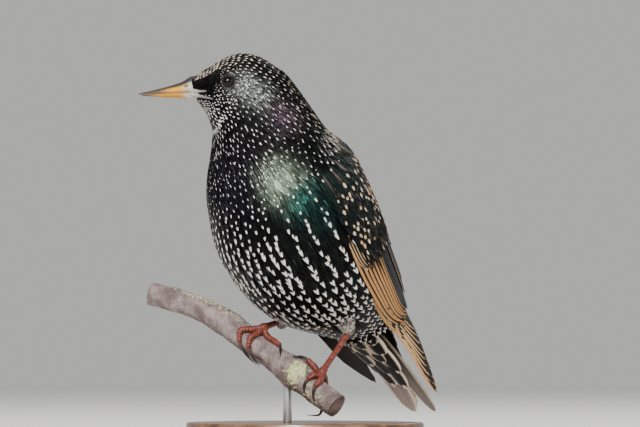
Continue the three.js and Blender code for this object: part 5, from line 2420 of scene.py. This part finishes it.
@dataclass
class Leg:
    """One leg: feathered thigh, scaled tarsus, toes and claws."""

    plan: LegPlan
    thigh_radii: tuple[float, ...] = (8.4, 5.6, 2.6)
    thigh_tones: tuple[Four, Four] = ((0.012, 0.012, 0.014, 0.4), (0.55, 0.50, 0.44, 0.0))
    tarsus_radii: tuple[float, ...] = (1.75, 1.35, 1.3, 1.6)
    tarsus_ends: tuple[float, ...] = (-3.0, 4.0, -6.0, -1.0)
    toe_radius: float = 1.28
    toe_taper: tuple[float, ...] = (1.1, 1.05, 0.98, 0.82)
    claw_radius: float = 0.85
    claw_tones: tuple[Colour, Colour] = ((0.09, 0.05, 0.04), (0.02, 0.016, 0.016))
    height: float = 1.35

    @property
    def name(self) -> str:
        """The side's name."""
        return self.plan.side.name.lower()

    @cached_property
    def ends(self) -> tuple[Array, Array, Array]:
        """Hock, foot joint and the way between them."""
        hock, joint = BIRD.world(*np.array((self.plan.hock, self.plan.joint)).T)
        return hock, joint, (joint - hock) / np.linalg.norm(joint - hock)

    @staticmethod
    def _scaled(
        name: str, line: Line, scutes: float, knuckles: float, around: int, along: int
    ) -> Mesh:
        """A limb with plates along its front and swellings at its joints.

        Args:
            name: The mesh's name.
            line: Middle line and radii.
            scutes: Number of plates.
            knuckles: Number of swellings.
            around: Cells round it.
            along: Cells along it.

        Returns:
            The mesh.
        """

        def place(u: Array, v: Array) -> Array:
            """The limb, closed at its end."""
            plate = (v * scutes) % 1.0
            ridge = smooth(plate / 0.3) * (1 - smooth((plate - 0.75) / 0.25)) * 0.07
            swell = 0.13 * np.abs(np.cos(math.pi * v * knuckles)) ** 3 if knuckles else 0.0
            closed = np.sqrt(np.clip(1 - ((v - 0.94) / 0.06).clip(0, 1) ** 2, 0.02, 1))
            return line.point(v, u * 360, line.at(v)[1] * ((1 + ridge + swell) * closed - 1))

        def tone(u: Array, v: Array) -> Array:
            """Number of the plate, and how far it is in front."""
            front = smooth((np.cos(2 * math.pi * (u - 0.12)) + 0.15) / 0.5)
            return columns(v * scutes / SCUTE_UNIT, front, 0.0, 1.0)

        return wrapped(name, around, along, place, tone)

    def _tarsus(self) -> Mesh:
        """The bare shank."""
        hock, joint, way = self.ends
        starts = (hock, hock, joint, joint)
        points = [start + way * reach for start, reach in zip(starts, self.tarsus_ends)]
        return self._scaled(f"shank_{self.name}", Line(points, self.tarsus_radii), 13, 0, 24, 120)

    def _foot(self) -> Mesh:
        """Ankle and toes."""
        _, joint, way = self.ends
        start = PERCH.nearest(joint)
        ankle = Line([joint - way * 2.4, joint, joint + way * 1.6], (1.6, 2.0, 1.5))
        parts = [self._scaled("ankle", ankle, 3, 0, 20, 24)]
        for number, path in enumerate(self.plan.toes):
            points = [joint, *(PERCH.spot(start, a, d, self.height) for a, d in path)]
            radii = [self.toe_radius * share for share in self.toe_taper]
            parts.append(self._scaled(f"toe{number}", Line(points, radii), 13, 3, 20, 92))
        return joined(f"toes_{self.name}", parts)

    def _claw(self, number: int) -> Mesh:
        """One curved claw, rooted in its toe's end.

        Args:
            number: Which toe.

        Returns:
            The mesh.
        """
        start = PERCH.nearest(self.ends[1])
        last = self.plan.toes[number][-1]
        usual = self.claw_radius + 0.45
        rest = [PERCH.spot(start, *(*row, usual)[:3]) for row in self.plan.claws[number]]
        points = [PERCH.spot(start, *last, self.height), *rest]
        share = np.linspace(0, 1, len(points))
        line = Line(points, self.claw_radius * (1 - 0.88 * share**1.6))
        name = f"talon_{self.name}_{number + 1}"
        return wrapped(name, 14, 36, line.skin, self._horn)

    def _horn(self, u: Array, v: Array) -> Array:
        """Colour of a claw, which darkens towards its tip."""
        return opaque(mix(*map(np.array, self.claw_tones), smooth(v * 2)[:, None]))

    def _tibia(self, rng: Random) -> tuple[Line, Plumes]:
        """Feathers of the thigh, pale towards the hock.

        Args:
            rng: Source of small differences.

        Returns:
            The thigh's middle line, and the feathers on it.
        """
        line = Line(BIRD.world(*np.array(self.plan.thigh).T), self.thigh_radii)
        rows = []
        for number, part in enumerate(np.linspace(0.02, 0.94, 12)):
            rows.append(columns(part, (np.arange(14) + 0.5 * (number % 2)) * 360 / 14))
        root = np.concatenate(rows)
        root = root + rng.normal(0, 1, root.shape) * (0.01, 3)
        count = len(root)
        length = np.interp(root[:, 0], (0, 1), (7.5, 5.0)) / line.length
        pale = smooth((root[:, 0] - 0.2) / 0.4)[:, None]
        return line, Plumes(
            root=root,
            tip=root + columns(length, rng.normal(0, 6, count)),
            width=np.maximum(line.at(root[:, 0])[1] * 0.36, 1.1),
            lift=columns(-0.9, rng.normal(0.15, 0.2, count)),
            sheen=mix(*map(np.array, self.thigh_tones), pale),
            trim=rows_of(count, 0.6, 0.55, 0.48, 0),
            mark=rows_of(count, 0.3, 0.6, 0.12, 1),
        )

    def build(self, scale: Material, horn: Material, feather: Material) -> None:
        """Builds the leg.

        Args:
            scale: The scaled skin's material.
            horn: The claws' material.
            feather: The thigh feathers' material.
        """
        show(self._tarsus(), Slot.LEG, scale, f"tarsus_{self.name}")
        show(self._foot(), Slot.LEG, scale, f"foot_{self.name}")
        for number in range(len(self.plan.toes)):
            show(self._claw(number), Slot.CLAW, horn, f"claw_{self.name}_{number + 1}")
        line, plumes = self._tibia(np.random.default_rng(71))
        Coat(f"tibia_{self.name}", line, HACKLE, 0.02).dress(plumes, feather, Slot.PLUMAGE)


@dataclass
class Stand:
    """Round turned base and one steel rod up to the branch."""

    radius: float = 55.0
    height: float = 8.0
    edge: float = 1.2
    rod_radius: float = 2.0
    rod: Pair = (-8.0, -2.4)
    rod_top: float = 33.0

    @staticmethod
    def _turned(name: str, profile: Sequence[Pair], at: Pair) -> Mesh:
        """A solid turned from its profile, with its arrises eased.

        Args:
            name: The mesh's name.
            profile: Radius and height of each corner, from the foot up.
            at: Place of the axis.

        Returns:
            The mesh.
        """
        bm = bmesh.new()
        verts = [bm.verts.new((r * MM, 0, z * MM)) for r, z in profile]
        edges = [bm.edges.new(pair) for pair in zip(verts, verts[1:])]
        full = {"cent": (0, 0, 0), "axis": (0, 0, 1), "angle": 2 * math.pi, "use_merge": True}
        bmesh.ops.spin(bm, geom=verts + edges, steps=128, **full)
        bmesh.ops.remove_doubles(bm, verts=bm.verts, dist=1e-6)
        bmesh.ops.recalc_face_normals(bm, faces=bm.faces)
        sharp = [
            e for e in bm.edges if len(e.link_faces) == 2 and e.calc_face_angle() > math.radians(40)
        ]
        eased = {"segments": 3, "profile": 0.5, "affect": "EDGES", "material": -1}
        bmesh.ops.bevel(bm, geom=sharp, offset=0.35 * MM, **eased)
        bmesh.ops.translate(bm, verts=bm.verts, vec=(at[0] * MM, at[1] * MM, 0))
        mesh = meshed(name, bm, smooth=True)
        mesh.set_sharp_from_angle(angle=math.radians(35))
        return mesh

    def build(self) -> None:
        """Builds the base, then the rod."""
        wood, steel = VarnishFinish("varnished_wood").make(), SteelFinish("drawn_steel").make()
        r, h, e = self.radius, self.height, self.edge
        profile = [(0, 0), (r - 0.6, 0), (r, 0.8), (r, h - 2.6), (r - 0.9, h - 2.1), (r - e, h)]
        base = self._turned("turned_base", [*profile, (0, h)], (0.0, 0.0))
        show(base, Slot.WOOD, wood, "stand_base")
        top = PERCH.line.at(np.array([PERCH.nearest(np.array((*self.rod, self.rod_top)))]))[0][0][2]
        profile = [(0, h + 0.1), (self.rod_radius, h + 0.1), (self.rod_radius, top), (0, top)]
        show(self._turned("drawn_rod", profile, self.rod), Slot.STEEL, steel, "stand_rod")


# Studio


@dataclass
class Studio:
    """Floor, lights and camera."""

    eye: Spot = (0.0068, -5.09, 0.103)
    frame_width: float = 0.2909
    background: Colour = (0.50, 0.50, 0.49)
    lamps: tuple[tuple[str, Spot, float, float], ...] = (
        ("key", (-0.4, -1.9, 1.3), 0.45, 78.0),
        ("fill", (1.3, -1.2, 0.6), 1.1, 5.0),
        ("rim", (0.9, 1.1, 1.0), 0.8, 10.0),
        ("top", (-0.3, 0.1, 1.6), 0.9, 6.0),
    )
    target: Spot = (0.0, 0.0, 0.1)

    def _floor(self) -> None:
        """A wide pale floor."""
        bm = bmesh.new()
        bmesh.ops.create_circle(bm, cap_ends=True, cap_tris=True, segments=96, radius=30.0)
        bmesh.ops.recalc_face_normals(bm, faces=bm.faces)
        floor = placed("floor", meshed("floor", bm))
        floor.data.materials.append(FloorFinish("floor_paint", far=self.background).make())
        floor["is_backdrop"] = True

    def _lamp(self, name: str, place: Spot, size: float, power: float) -> None:
        """One soft square lamp that faces the bird.

        Args:
            name: The lamp's name.
            place: Where it is, in metres.
            size: Length of its sides.
            power: Watts.
        """
        data = bpy.data.lights.new(name, "AREA")
        data.energy, data.size = power, size
        lamp = placed(name, data)
        lamp.location = place
        way = Vector(self.target) - Vector(place)
        lamp.rotation_euler = way.to_track_quat("-Z", "Y").to_euler()
        lamp.visible_camera = False

    def _world(self) -> None:
        """An even pale background."""
        world = bpy.data.worlds.new("studio")
        world.use_nodes = True
        shade = world.node_tree.nodes["Background"]
        shade.inputs["Color"].default_value = (*self.background, 1.0)
        shade.inputs["Strength"].default_value = 1.0
        bpy.context.scene.world = world

    def build(self) -> None:
        """Builds the studio."""
        self._floor()
        self._world()
        for lamp in self.lamps:
            self._lamp(*lamp)
        data = bpy.data.cameras.new("camera")
        data.sensor_width = 36.0
        data.lens = data.sensor_width * -self.eye[1] / self.frame_width
        data.clip_start, data.clip_end = 0.5, 60.0
        camera = placed("camera", data)
        camera.location = self.eye
        camera.rotation_euler = (math.pi / 2, 0, 0)
        bpy.context.scene.camera = camera


def main() -> None:
    """Builds every piece in order."""
    logging.basicConfig(level=logging.INFO, format="%(name)s %(message)s")
    plumage = FeatherFinish(
        "body_feathers", barbs=3.0, barb_fan=6.0, barb_depth=0.03, barb_shade=0.25, shaft=0.15
    ).make()
    quill = FeatherFinish(
        "wing_feathers", 0.45, 0.65, 70.0, 0.06, 0.16, softness=0.25, slender=12.0, glint_streaks=0.4
    ).make()
    Skin().build()
    BodyCoat().build(plumage)
    EYES.build()
    BILL.build()
    for side in Side:
        Wing(side).build(quill, HornFinish("wing_bed", 0.8).make())
    Tail().build(quill)
    scale = ScaleFinish("leg_scales").make()
    claw = HornFinish("claw_horn", 0.3).make()
    for plan in (LEFT_LEG, RIGHT_LEG):
        Leg(plan).build(scale, claw, plumage)
    PERCH.build()
    Stand().build()
    Studio().build()
    boxes = {"cad": CAD_BOX, "visual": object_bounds()}
    {key: [list(map(float, corner)) for corner in box] for key, box in boxes.items()}


if __name__ == "__main__":
    main()
